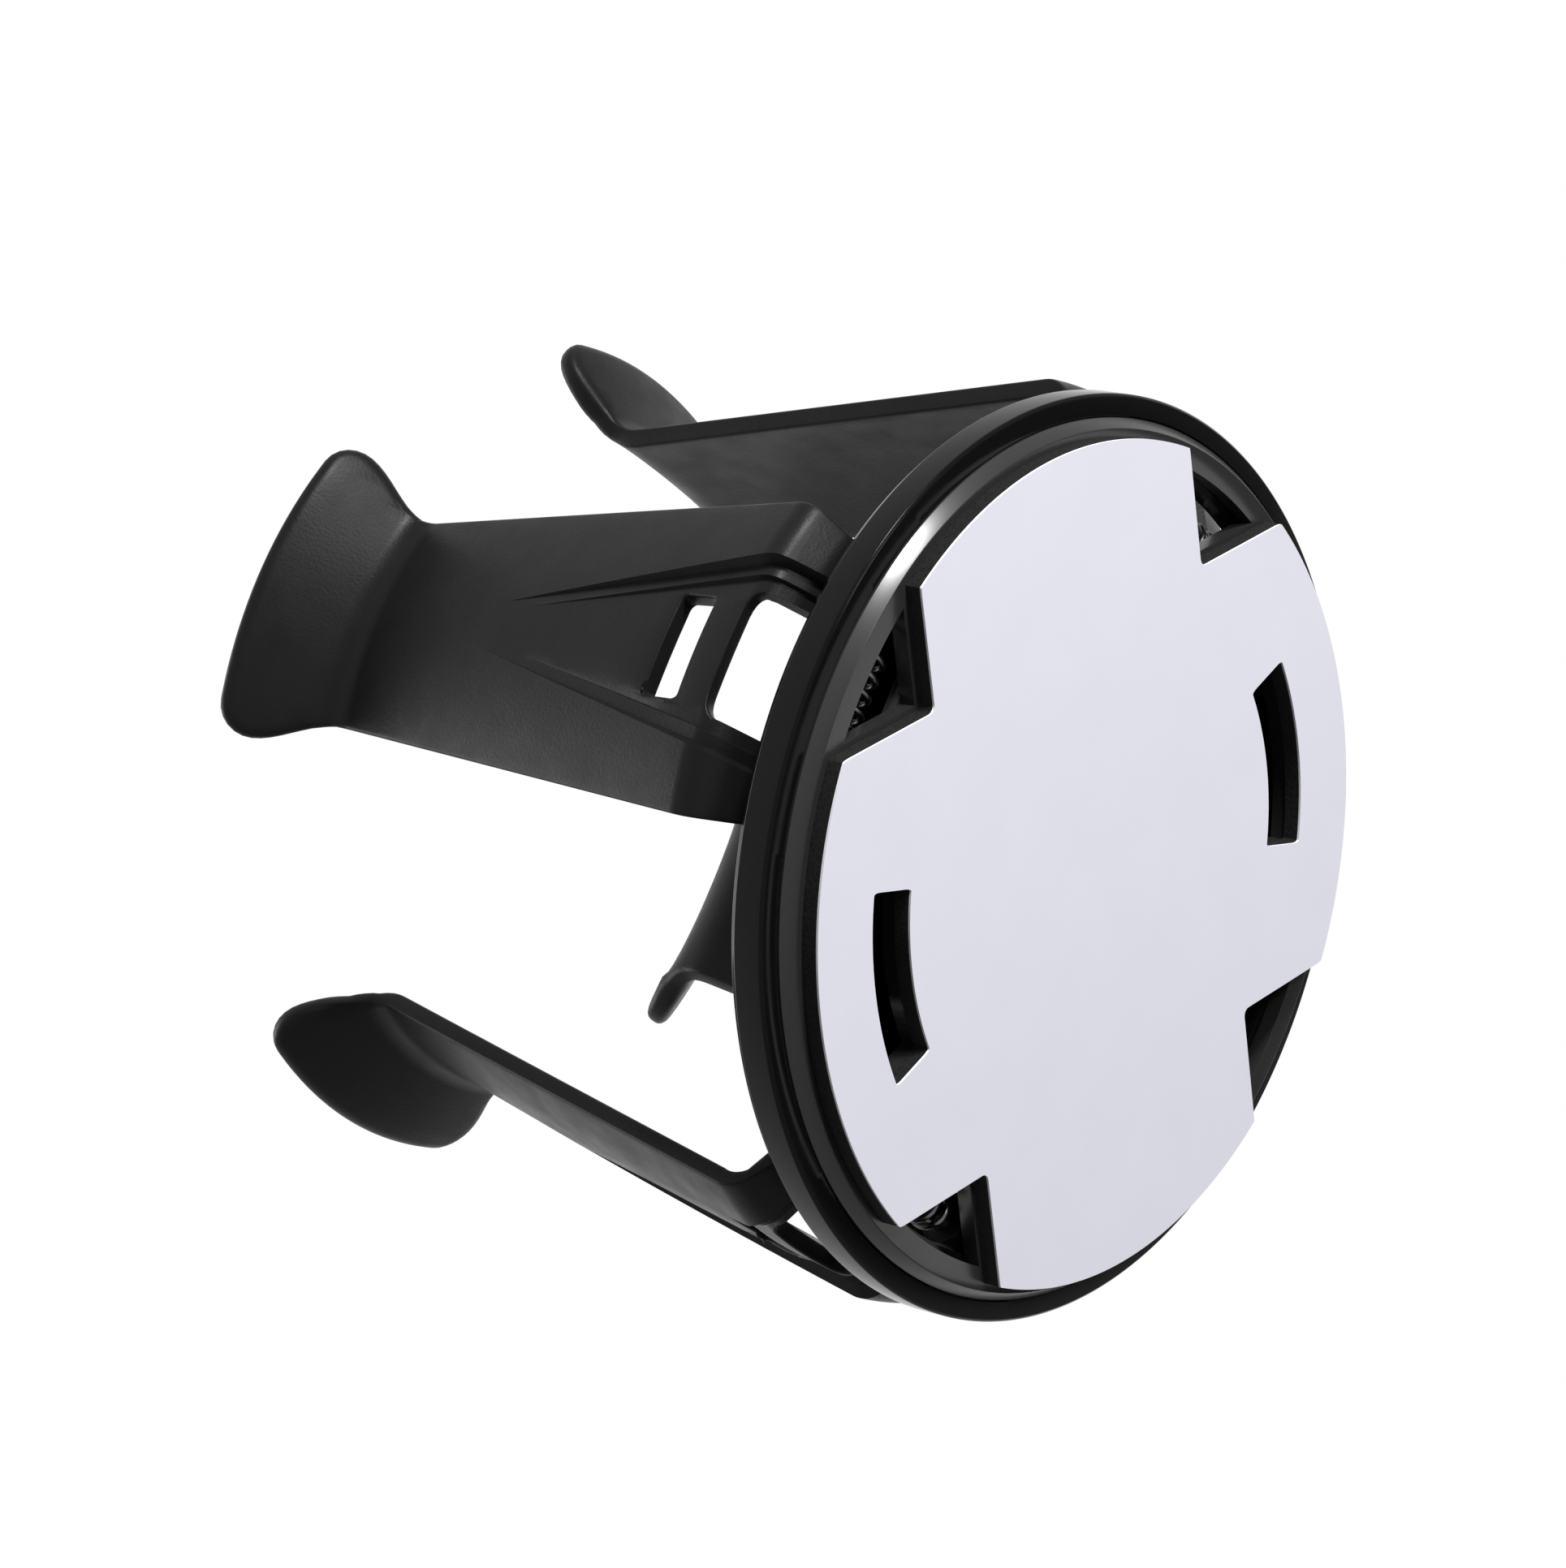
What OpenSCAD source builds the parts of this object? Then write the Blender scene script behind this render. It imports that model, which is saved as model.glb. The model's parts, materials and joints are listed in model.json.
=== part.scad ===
// Car cup holder: a round base with an adhesive pad and four sprung arms that close on the cup.
// Units are millimetres. Z = 0 is the face of the pad that sticks to the dashboard.

/* [Adhesive pad] */
// Distance from the pad's edge to the base's edge
pad_margin = 3.5; // [3:0.1:7]
// Thickness of the foam layer
foam_t = 1.5; // [0.8:0.1:2.5]
// Thickness of the release liner
liner_t = 0.2; // [0.1:0.05:0.4]
// Depth of each corner notch from the pad's edge, along its first side
notch_a = 18.2; // [16:0.1:19]
// Depth of each corner notch from the pad's edge, along its second side
notch_b = 15.7; // [15:0.1:17]
// Distance from the pad's edge to the middle of the curved twist slots
twist_in = 9.3; // [9:0.1:12]
// Width of the curved twist slots
twist_w = 4.8; // [3:0.1:5]
// Angle that each curved twist slot spans
twist_span = 34; // [20:1:40]

/* [Base] */
// Outer diameter of the base
base_d = 80; // [78:0.5:86]
// Height of the straight outer rim wall
rim_h = 2.8; // [2:0.1:4]
// Radial width of the rim ring outside the cover
rim_w = 2; // [1.8:0.1:2.4]
// Thickness of the bottom cover
cover_t = 1.5; // [1.2:0.1:2]
// Depth of the bevel round the bottom cover
cover_bevel = 1.1; // [0.6:0.1:1.2]
// Height of the room inside the base
room_h = 5.2; // [5.1:0.1:6]
// Thickness of the cup platform
platform_t = 1.6; // [1.4:0.1:2.5]
// Width of the sloped shoulder round the cup platform
shoulder_w = 7.5; // [7:0.1:9]
// Thickness of the base's outer wall
wall_t = 1.8; // [1.6:0.1:2.6]

/* [Seat mat] */
// Width of the platform's border round the mat
mat_margin = 5; // [4.5:0.5:12]
// Thickness of the rubber seat mat
mat_t = 1.2; // [0.8:0.1:2]
// Depth of the recess that holds the mat
mat_recess = 0.6; // [0.3:0.1:0.8]
// Number of raised rings on the mat
mat_rings = 4; // [2:1:6]

/* [Arms] */
// Reach of the fold beyond the edge of the base
fold_out = 0.7; // [0:0.1:1]
// Height of the fold above the hinge pin
fold_h = 6.1; // [6:0.1:8]
// Height of the neck above the fold
neck_h = 49.3; // [35:0.1:60]
// Inward lean of an arm at rest
arm_lean = 12; // [8:0.1:14]
// Thickness of an arm at the fold
arm_t = 3.1; // [2.6:0.1:3.2]
// Thickness of an arm at the neck
neck_t = 2.9; // [2:0.1:3]
// Width of an arm at the fold
fold_w = 28.8; // [26:0.2:29]
// Width of an arm at the neck
neck_w = 20; // [16:0.2:22]
// Width of the flared lip
lip_w = 27.6; // [24:0.2:28]
// Height of the lip above the neck
lip_h = 6.4; // [5:0.1:9]
// Outward reach of the lip beyond the neck
lip_out = 7.4; // [5:0.1:10]
// Thickness of the lip at its edge
lip_t = 1.9; // [1.4:0.1:2.6]
// How much flatter the inner side of an arm is than its outer side, as a longer radius
inner_flat = 60; // [20:5:90]
// Radius of the lip's two corners
lip_round = 3; // [2:0.1:4]

/* [Arm openings] */
// Width of the open window at the foot of an arm
window_w = 12; // [9:0.2:12.4]
// Height of the top of the window above the fold
window_up = 1.6; // [0:0.1:2]
// Height of the narrow slot above the fold
slot_up = 5.5; // [4:0.1:8]
// Height of the narrow slot itself
slot_h = 4.1; // [2:0.1:5]
// Width of the narrow slot
slot_w = 9.6; // [7:0.2:11]
// Depth of the outer recess at the fold
recess_d = 1.3; // [0.6:0.1:1.5]
// Width of the outer recess at the fold
recess_w = 17; // [15:0.2:19]
// Width of the outer recess at its upper end
recess_end_w = 4.7; // [3:0.1:6]
// Height of the recess above the fold
recess_h = 31.1; // [26:0.1:34]
// Further depth of the step inside the recess
step_d = 0.35; // [0.2:0.05:0.6]
// Width of the recess's floor outside the step
step_in = 1.3; // [0.8:0.1:2]

/* [Hinges] */
// Distance from the base's edge to the hinge pins
hinge_in = 8.5; // [8:0.1:9]
// Diameter of a hinge pin
pin_d = 2; // [1.6:0.1:2.2]
// Radial running clearance between a pin and an arm
pin_gap = 0.05; // [0.02:0.01:0.1]
// Diameter of an arm's hinge lug
lug_d = 4.4; // [4:0.1:4.6]
// Gap between an arm and the side of its pocket
side_gap = 0.4; // [0.3:0.05:0.8]
// Width of each pin seat
seat_w = 2.8; // [2:0.1:3]
// Wire diameter of the springs
wire_d = 0.6; // [0.4:0.05:0.7]
// Turns of each spring
spring_turns = 6; // [4:1:7]

/* [Screws] */
// Distance from the hinge pins to the screws
screw_in = 12.5; // [11:0.5:14]
// Shank diameter of the screws
screw_d = 2.5; // [2:0.1:3]
// Diameter of the countersunk heads
head_d = 4.8; // [4:0.1:5.2]

/* [Hidden] */
$fn = 96;
eps = 0.01;
big = 200;
past = 1; // how far a cut runs past a face

// Levels of the base, from the sticking face upwards
cover_z = liner_t + foam_t;
room_z = cover_z + cover_t;
ceiling_z = room_z + room_h;
platform_z = ceiling_z + platform_t;
rim_z = cover_z + cover_bevel + 0.3;
rim_top_z = rim_z + rim_h;
base_r = base_d / 2;
cover_r = base_r - rim_w;
cover_seat_w = 1.4;
inner_r = cover_r - cover_seat_w;
pocket_r = base_r - wall_t;
pad_r = base_r - pad_margin;
twist_r = pad_r - twist_in;
platform_r = base_r - shoulder_w;
mat_r = platform_r - mat_margin;
mat_floor_z = platform_z - mat_recess;

// Hinge line, measured from the floor of the room
hinge_r = base_r - hinge_in;
hinge_z = room_z + lug_d / 2 + 0.5;
lug_gap = 0.3;
pocket_half = fold_w / 2 + 0.2 + side_gap;
lug_end = pocket_half - seat_w - lug_gap;
seat_r = pin_d / 2 + 1.9;
seat_floor_z = room_z + 1.1;
screw_r = hinge_r - screw_in;

// Corner points of an arm's outer side, in radius and height
hinge = [hinge_r, hinge_z];
fold = [base_r + fold_out, hinge_z + fold_h];
neck = fold + [-neck_h * tan(arm_lean), neck_h];
tip = neck + [lip_out, lip_h];
fold_fillet = 2.6;
neck_fillet = 6;
window_r = 2;
foot_dir = unit(fold - hinge);
plate_dir = unit(neck - fold);
lip_dir = unit(tip - neck);
foot_end = hinge + left(foot_dir) * arm_t;
tip_end = tip + left(lip_dir) * lip_t;
fold_in = meet(foot_end, foot_dir, fold + left(plate_dir) * arm_t, plate_in_dir());
neck_in = meet(neck + left(plate_dir) * neck_t, plate_in_dir(), tip_end, lip_in_dir());
pocket_in_r = foot_end[0] - lug_gap + 0.2;

// Height where an arm widens above its seats, and the edges of its wall, which run along the radius
ear_clear_z = hinge_z + seat_r + 0.5;
edge_angle = asin(fold_w / 2 / fold[0]);
neck_edge = neck[0] * sin(asin(neck_w / 2 / neck[0]) - edge_angle);
lip_edge_y = tip[0] * sin(asin(lip_w / 2 / tip[0]) - edge_angle) + 0.6;
lip_angle = atan2(lip_h, lip_out);
lip_wide = norm(tip - neck) + lip_t * 0.3 - lip_round;
edge_steps = 6;
reach = base_r + lip_out + 2;

function unit(v) = v / norm(v);
function left(v) = [-v[1], v[0]];
function meet(p, d, q, e) = p + d * cross(q - p, e) / cross(d, e);
function plate_in_dir() = unit(neck + left(plate_dir) * neck_t - fold - left(plate_dir) * arm_t);
function lip_in_dir() = unit(tip_end - neck - left(lip_dir) * neck_t);
function flare(x) = (x * x * (3 - 2 * x) + sin(90 * x)) / 2;

// Points of a round corner of radius r at b, between the lines to a and c
function corner(a, b, c, r, n = 6) =
    let (u = unit(a - b), w = unit(c - b), half = acos(u * w) / 2,
         m = b + unit(u + w) * r / sin(half),
         p = b + u * r / tan(half) - m, q = b + w * r / tan(half) - m,
         start = atan2(p[1], p[0]), turn = (atan2(q[1], q[0]) - start + 540) % 360 - 180)
    [for (i = [0 : n]) m + r * [cos(start + turn * i / n), sin(start + turn * i / n)]];

// Points of the rounded edge that closes the lip
function lip_edge(n = 6) =
    let (m = (tip + tip_end) / 2, r = norm(tip - tip_end) / 2, start = atan2((tip - m)[1], (tip - m)[0]))
    [for (i = [1 : n - 1]) m + r * [cos(start + 180 * i / n), sin(start + 180 * i / n)]];

// Radius of an arm's outer side at a height above the fold
function outer_r(z) = fold[0] - (z - fold[1]) * tan(arm_lean);

module revolve(points) {
    rotate_extrude() polygon(points);
}

// Lays an outline of width and height through the wall of the arm on the +X side
module through_arm() {
    translate([hinge_r / 4, 0, 0]) rotate([90, 0, 90]) linear_extrude(reach - hinge_r / 4) children();
}

// Lays an outline square to the same arm's lip, its zero height at the neck
module through_lip() {
    translate([neck[0], 0, neck[1]]) rotate([0, 90 - lip_angle, 0]) rotate([90, 0, 90])
        linear_extrude(big, center = true) children();
}

// Repeats a shape for each of the four arms
module each_arm() {
    for (i = [0 : 3]) rotate([0, 0, 90 * i]) children();
}

// Base

// The area of the four corner notches, whose edges lie at 45 degrees to the arms
module corner_area(grow) {
    rotate([0, 0, -45])
    for (i = [0, 1], j = [0, 1])
        mirror([i, 0]) mirror([0, j])
        translate([pad_r - notch_a + grow, pad_r - notch_b + grow]) square(base_d);
}

module twist_slots(grow) {
    for (side = [0, 180])
        rotate([0, 0, side - 45])
        intersection() {
            difference() {
                circle(r = twist_r + twist_w / 2 + grow);
                circle(r = twist_r - twist_w / 2 - grow);
            }
            polygon([[0, 0], base_d * [cos(twist_span / 2), -sin(twist_span / 2)],
                base_d * [cos(twist_span / 2), sin(twist_span / 2)]]);
        }
}

module pad_sheet(thickness) {
    linear_extrude(thickness)
    difference() {
        circle(r = pad_r);
        corner_area(0);
        twist_slots(0);
    }
}

module release_liner() {
    color("lavender") pad_sheet(liner_t);
}

module foam_pad() {
    color("dimgray") translate([0, 0, liner_t]) pad_sheet(foam_t);
}

// One screw-sized shape with a countersunk head at the cover's lower face
module screw_shape(shank, head, length) {
    translate([screw_r, 0, cover_z])
    rotate_extrude()
    polygon([[0, 0], [head / 2, 0], [shank / 2, (head - shank) / 2], [shank / 2, length], [0, length]]);
}

module bottom_cover() {
    color("#161617")
    difference() {
        revolve([[0, cover_z], [cover_r - cover_bevel * 0.75, cover_z], [cover_r, cover_z + cover_bevel],
            [cover_r, room_z], [0, room_z]]);
        translate([0, 0, cover_z - past]) linear_extrude(cover_t + 2 * past) {
            intersection() {
                circle(r = inner_r - cover_seat_w);
                corner_area(0.5);
            }
            twist_slots(0.2);
        }
        each_arm() screw_shape(screw_d + 0.2, head_d + 0.2, cover_t + past);
    }
}

// Outer form of the housing as one solid of revolution
module housing_form() {
    revolve([[0, room_z], [cover_r + 0.1, room_z], [cover_r + 0.1, rim_z - 0.2], [base_r - 0.25, rim_z - 0.05],
        [base_r, rim_z + 0.2], [base_r, rim_top_z], [base_r - 0.35, rim_top_z + 0.55],
        [base_r - 1.3, rim_top_z + 1.15], [platform_r + 1, platform_z - 0.35],
        [platform_r - 0.3, platform_z], [0, platform_z]]);
}

// The pocket that one arm's foot moves in
module arm_pocket() {
    difference() {
        intersection() {
            translate([0, -pocket_half, room_z - past]) cube([base_r, 2 * pocket_half, big]);
            translate([0, 0, room_z - past]) cylinder(r = pocket_r, h = big);
        }
        cylinder(r = pocket_in_r, h = big);
        pin_seats();
    }
}

// Half-round bosses that carry the two ends of a hinge pin
module pin_seats() {
    for (side = [0, 1])
        mirror([0, side, 0])
        intersection() {
            translate([hinge_r, pocket_half - seat_w, hinge_z]) rotate([-90, 0, 0]) cylinder(r = seat_r, h = seat_w + 1);
            translate([0, 0, seat_floor_z]) cube(big);
        }
}

// Ribs beside each pocket, which the pins' ends sit in
rib_l = 10;
rib_t = 1.6;

module upper_housing() {
    color("#161617")
    difference() {
        housing_form();
        difference() {
            revolve([[0, room_z - past], [inner_r, room_z - past], [inner_r, room_z + 1.8],
                [platform_r - 1, ceiling_z], [0, ceiling_z]]);
            each_arm() {
                for (side = [-1, 1])
                    translate([hinge_r - rib_l / 2, side * (pocket_half + rib_t / 2) - rib_t / 2, 0])
                        cube([rib_l, rib_t, big]);
                translate([screw_r, 0, 0]) cylinder(d = screw_d + 3.6, h = big);
            }
        }
        each_arm() {
            arm_pocket();
            translate([hinge_r, -pocket_half - 0.4, hinge_z]) rotate([-90, 0, 0])
                cylinder(d = pin_d, h = 2 * pocket_half + 0.8);
            translate([hinge_r - pin_d / 2, -pocket_half - 0.4, 0])
                cube([pin_d, 2 * pocket_half + 0.8, hinge_z]);
            translate([screw_r, 0, 0]) cylinder(d = screw_d + 0.1, h = ceiling_z - 0.4);
        }
        translate([0, 0, mat_floor_z]) cylinder(r = mat_r + 0.2, h = mat_t + past);
    }
}

module seat_mat() {
    pitch = mat_r / (mat_rings + 1);
    color("#232325")
    difference() {
        translate([0, 0, mat_floor_z]) cylinder(r = mat_r, h = mat_t);
        for (i = [1 : mat_rings])
            translate([0, 0, mat_floor_z + mat_t - 0.4])
            difference() {
                cylinder(r = pitch * i + pitch * 0.25, h = 1);
                translate([0, 0, -1]) cylinder(r = pitch * i - pitch * 0.25, h = 3);
            }
    }
}

module case_screws() {
    color("silver")
    each_arm()
    difference() {
        screw_shape(screw_d, head_d, cover_t + room_h - 1.5);
        for (turn = [0, 90])
            translate([screw_r, 0, cover_z]) rotate([0, 0, turn]) cube([2.6, 0.6, 1.4], center = true);
    }
}

// Arms

// Side view of an arm's curved wall, from the hinge line to the lip
module arm_section() {
    polygon(concat([hinge], corner(hinge, fold, neck, fold_fillet, 4), corner(fold, neck, tip, neck_fillet),
        [tip], lip_edge(), [tip_end],
        corner(tip_end, neck_in, fold_in, neck_fillet + neck_t),
        corner(neck_in, fold_in, foot_end, 1.2, 3), [foot_end]));
}

// Front view of an arm's foot, which is narrow between the pin seats
module foot_outline() {
    polygon([[lug_end, 0], [lug_end, ear_clear_z], [fold_w, ear_clear_z], [fold_w, big],
        [-fold_w, big], [-fold_w, ear_clear_z], [-lug_end, ear_clear_z], [-lug_end, 0]]);
}

// One edge of an arm up to its neck, seen along the radius at that edge
module wall_edge() {
    polygon([[-2 * fold_w, 0], [0, 0], [0, fold[1]], [neck_edge, neck[1]],
        [neck_edge + lip_w, neck[1] + lip_w], [-2 * fold_w, neck[1] + lip_w]]);
}

// The same edge along the lip, seen square to the lip: a flared side and a round corner
module lip_side() {
    polygon(concat([[-2 * fold_w, -big / 2], [fold_w, -big / 2], [fold_w, -fold_w]],
        [for (i = [0 : edge_steps]) let (x = i / edge_steps)
            [neck_edge + 0.1 + (lip_edge_y - neck_edge - 0.1) * flare(x), lip_wide * x]],
        [for (i = [1 : edge_steps]) let (a = 90 * i / edge_steps)
            [lip_edge_y - lip_round * (1 - cos(a)), lip_wide + lip_round * sin(a)]],
        [[lip_edge_y - lip_round, norm(tip - neck) + 2 * lip_t], [-2 * fold_w, norm(tip - neck) + 2 * lip_t]]));
}

// The side of space that one edge of the arm on the +X side lies in
module inside_edge(side) {
    mirror([0, side, 0]) rotate([0, 0, edge_angle])
    intersection() {
        through_arm() wall_edge();
        through_lip() lip_side();
    }
}

// The space inside an arm, whose longer radius thins the wall towards both edges
module inner_space() {
    bend = fold_in + [inner_flat + 0.05, 0];
    translate([-inner_flat, 0, 0])
        revolve([bend, bend + (neck_h + lip_h) * plate_in_dir(), [inner_flat, neck_h + lip_h + fold[1]],
            [inner_flat, hinge_z], bend - fold_h / foot_dir[1] * foot_dir]);
}

// A window with rounded upper corners
module window_outline(width, low, high, r) {
    translate([-width / 2, low]) square([width, high - low - r]);
    translate([-width / 2 + r, high - r - eps]) square([width - 2 * r, r + eps]);
    for (side = [-1, 1]) translate([side * (width / 2 - r), high - r]) circle(r = r);
}

// A shallow recess that deepens towards the fold and runs on down the foot
module recess(width, end_w, depth, height) {
    top_z = fold[1] + height;
    top = [outer_r(top_z), top_z];
    floor_fold = meet(hinge + left(foot_dir) * depth, foot_dir,
        fold + left(plate_dir) * depth, unit(top - fold - left(plate_dir) * depth));
    intersection() {
        revolve([top, floor_fold, hinge + left(foot_dir) * depth, [hinge_r, 0], [reach, 0], [reach, top_z]]);
        through_arm()
            polygon([[width / 2, 0], [width / 2, fold[1]], [end_w / 2, top_z], [-end_w / 2, top_z],
                [-width / 2, fold[1]], [-width / 2, 0]]);
    }
}

module arm_body() {
    color("#1d1d1f")
    difference() {
        union() {
            difference() {
                intersection() {
                    rotate_extrude() arm_section();
                    through_arm() foot_outline();
                    inside_edge(0);
                    inside_edge(1);
                }
                inner_space();
                recess(recess_w, recess_end_w, recess_d, recess_h);
                recess(recess_w - 2 * step_in, recess_end_w - step_in, recess_d + step_d, recess_h - 1.2);
            }
            translate([hinge_r, -lug_end, hinge_z]) rotate([-90, 0, 0]) cylinder(d = lug_d, h = 2 * lug_end);
        }
        through_arm() window_outline(window_w, -past, fold[1] + window_up, window_r);
        through_arm() translate([-slot_w / 2, fold[1] + slot_up]) square([slot_w, slot_h]);
        translate([hinge_r, -lug_end - past, hinge_z]) rotate([-90, 0, 0])
            cylinder(d = pin_d + 2 * pin_gap, h = 2 * lug_end + 2 * past);
        translate([hinge_r, 0, hinge_z]) rotate([-90, 0, 0])
            translate([0, -coil_r, 0]) cylinder(d = wire_d + 0.2, h = window_w / 2 + hook_l + 0.3);
    }
}

module arm_1() { arm_body(); }
module arm_2() { rotate([0, 0, 90]) arm_body(); }
module arm_3() { rotate([0, 0, 180]) arm_body(); }
module arm_4() { rotate([0, 0, 270]) arm_body(); }

// Hinges

module hinge_pin() {
    length = 2 * (pocket_half + 0.2);
    color("gray")
    translate([hinge_r, -length / 2, hinge_z]) rotate([-90, 0, 0]) cylinder(d = pin_d, h = length);
}

module hinge_pin_1() { hinge_pin(); }
module hinge_pin_2() { rotate([0, 0, 90]) hinge_pin(); }
module hinge_pin_3() { rotate([0, 0, 180]) hinge_pin(); }
module hinge_pin_4() { rotate([0, 0, 270]) hinge_pin(); }

// Spring: a coil on the pin, one end hooked into a lug and one leg under the platform
coil_gap = 0.3;
coil_end_gap = 1.2;
coil_r = pin_d / 2 + wire_d / 2 + coil_gap;
coil_l = window_w - 2 * coil_end_gap;
hook_l = 1.6;
leg_l = 5;
ring_steps = 12;
wire_sides = 6;

function coil_point(i) =
    let (a = 90 + 360 * i / ring_steps, n = spring_turns * ring_steps)
    [hinge_r + coil_r * cos(a), -coil_l / 2 + coil_l * i / n, hinge_z + coil_r * sin(a)];
function spring_path() = concat(
    [[hinge_r - leg_l, -coil_l / 2 - 0.05, ceiling_z - wire_d / 2 - 0.2]],
    [for (i = [0 : spring_turns * ring_steps]) coil_point(i)],
    [[hinge_r, window_w / 2 + hook_l, hinge_z + coil_r]]);

// Sweeps a round wire along a path of points
module wire(path, d, sides) {
    last = len(path) - 1;
    rings = [for (i = [0 : last])
        let (t = unit(path[min(i + 1, last)] - path[max(i - 1, 0)]),
             u = unit(cross(t, abs(t[1]) > 0.7 ? [1, 0, 0] : [0, 1, 0])), w = cross(t, u))
        for (s = [0 : sides - 1])
            let (a = 360 * s / sides + (abs(t[1]) > 0.7 ? -90 : 0)) path[i] + d / 2 * (u * cos(a) + w * sin(a))];
    walls = [for (i = [0 : last - 1], s = [0 : sides - 1])
        let (a = i * sides + s, b = i * sides + (s + 1) % sides) [a, b, b + sides, a + sides]];
    polyhedron(rings, concat([[for (s = [sides - 1 : -1 : 0]) s]], walls, [[for (s = [0 : sides - 1]) last * sides + s]]));
}

module torsion_spring() {
    color("darkgray") wire(spring_path(), wire_d, wire_sides);
}

module torsion_spring_1() { torsion_spring(); }
module torsion_spring_2() { rotate([0, 0, 90]) torsion_spring(); }
module torsion_spring_3() { rotate([0, 0, 180]) torsion_spring(); }
module torsion_spring_4() { rotate([0, 0, 270]) torsion_spring(); }

// A U-shaped clip whose two posts close the pin seats from below
module pin_keeper() {
    post_from = hinge_r - pin_d / 2 + 0.05;
    post_w = pin_d - 0.1;
    bar_w = 1.2;
    bar_from = hinge_r - lug_d / 2 - 0.3 - bar_w;
    rail_h = seat_floor_z - room_z - 0.1;
    color("#101011") {
        for (side = [0, 1])
            mirror([0, side, 0])
            translate([0, pocket_half - seat_w + 0.2, room_z]) {
                translate([post_from, 0, 0]) cube([post_w, seat_w - 0.4, hinge_z - pin_d / 2 - 0.05 - room_z]);
                translate([bar_from, 0, 0]) cube([post_from + post_w - bar_from, seat_w - 0.4, rail_h]);
            }
        translate([bar_from, -pocket_half + seat_w - 0.3, room_z])
            cube([bar_w, 2 * pocket_half - 2 * seat_w + 0.6, rail_h]);
    }
}

module pin_keeper_1() { pin_keeper(); }
module pin_keeper_2() { rotate([0, 0, 90]) pin_keeper(); }
module pin_keeper_3() { rotate([0, 0, 180]) pin_keeper(); }
module pin_keeper_4() { rotate([0, 0, 270]) pin_keeper(); }

upper_housing();
bottom_cover();
seat_mat();
foam_pad();
release_liner();
case_screws();
arm_1();
arm_2();
arm_3();
arm_4();
hinge_pin_1();
hinge_pin_2();
hinge_pin_3();
hinge_pin_4();
torsion_spring_1();
torsion_spring_2();
torsion_spring_3();
torsion_spring_4();
pin_keeper_1();
pin_keeper_2();
pin_keeper_3();
pin_keeper_4();
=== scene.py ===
import json
import math

import bpy
from bpy.props import FloatProperty, FloatVectorProperty, IntProperty, PointerProperty
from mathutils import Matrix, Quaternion, Vector


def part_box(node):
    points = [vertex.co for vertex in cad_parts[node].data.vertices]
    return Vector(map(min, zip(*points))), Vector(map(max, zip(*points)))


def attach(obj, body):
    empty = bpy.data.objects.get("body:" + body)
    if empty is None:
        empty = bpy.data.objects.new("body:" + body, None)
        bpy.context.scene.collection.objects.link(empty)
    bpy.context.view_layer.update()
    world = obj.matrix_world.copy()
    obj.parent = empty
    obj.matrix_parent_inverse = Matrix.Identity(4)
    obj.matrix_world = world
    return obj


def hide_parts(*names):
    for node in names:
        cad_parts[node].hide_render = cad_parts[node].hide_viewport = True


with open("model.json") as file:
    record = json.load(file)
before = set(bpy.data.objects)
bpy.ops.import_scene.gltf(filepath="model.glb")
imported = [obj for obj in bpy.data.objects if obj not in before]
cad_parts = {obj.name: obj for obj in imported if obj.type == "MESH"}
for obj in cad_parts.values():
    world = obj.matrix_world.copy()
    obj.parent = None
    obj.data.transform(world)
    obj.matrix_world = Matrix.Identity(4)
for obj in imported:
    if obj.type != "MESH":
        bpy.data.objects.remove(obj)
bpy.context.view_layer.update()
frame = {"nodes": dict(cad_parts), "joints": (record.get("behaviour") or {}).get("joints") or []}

bl_info = {
    "name": "Car Cup Holder",
    "version": (1, 0, 0),
    "blender": (4, 5, 0),
    "location": "View3D > Sidebar > Cup Holder",
    "description": "Models and finishes a stick-on car cup holder with four sprung arms",
    "category": "Object",
}

MM = 0.001
ARMS = (1, 2, 3, 4)
QUARTER_TURN = 90

HOUSING_LOW, HOUSING_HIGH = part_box("upper_housing")
COVER_LOW, COVER_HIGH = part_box("bottom_cover")
LINER_LOW, LINER_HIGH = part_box("release_liner")
FOAM_LOW, FOAM_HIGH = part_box("foam_pad")
MAT_LOW, MAT_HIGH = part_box("seat_mat")
PIN_LOW, PIN_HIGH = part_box("hinge_pin_1")
PIN_RADIUS = (PIN_HIGH.x - PIN_LOW.x) / 2
SPRING_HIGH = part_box("torsion_spring_1")[1]
HINGE = Vector(frame["joints"][0]["pos_m"])


def length(label, text, value):
    return FloatProperty(name=label, description=text, default=value, unit="LENGTH", precision=5)


def angle(label, text, degrees):
    return FloatProperty(name=label, description=text, default=math.radians(degrees), subtype="ANGLE")


def colour(label, text, value):
    return FloatVectorProperty(name=label, description=text, default=value, size=3, min=0, max=1,
                               subtype="COLOR")


def share(label, text, value):
    return FloatProperty(name=label, description=text, default=value, min=0, max=1, subtype="FACTOR")


def power(label, text, value):
    return FloatProperty(name=label, description=text, default=value, unit="POWER")


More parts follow.
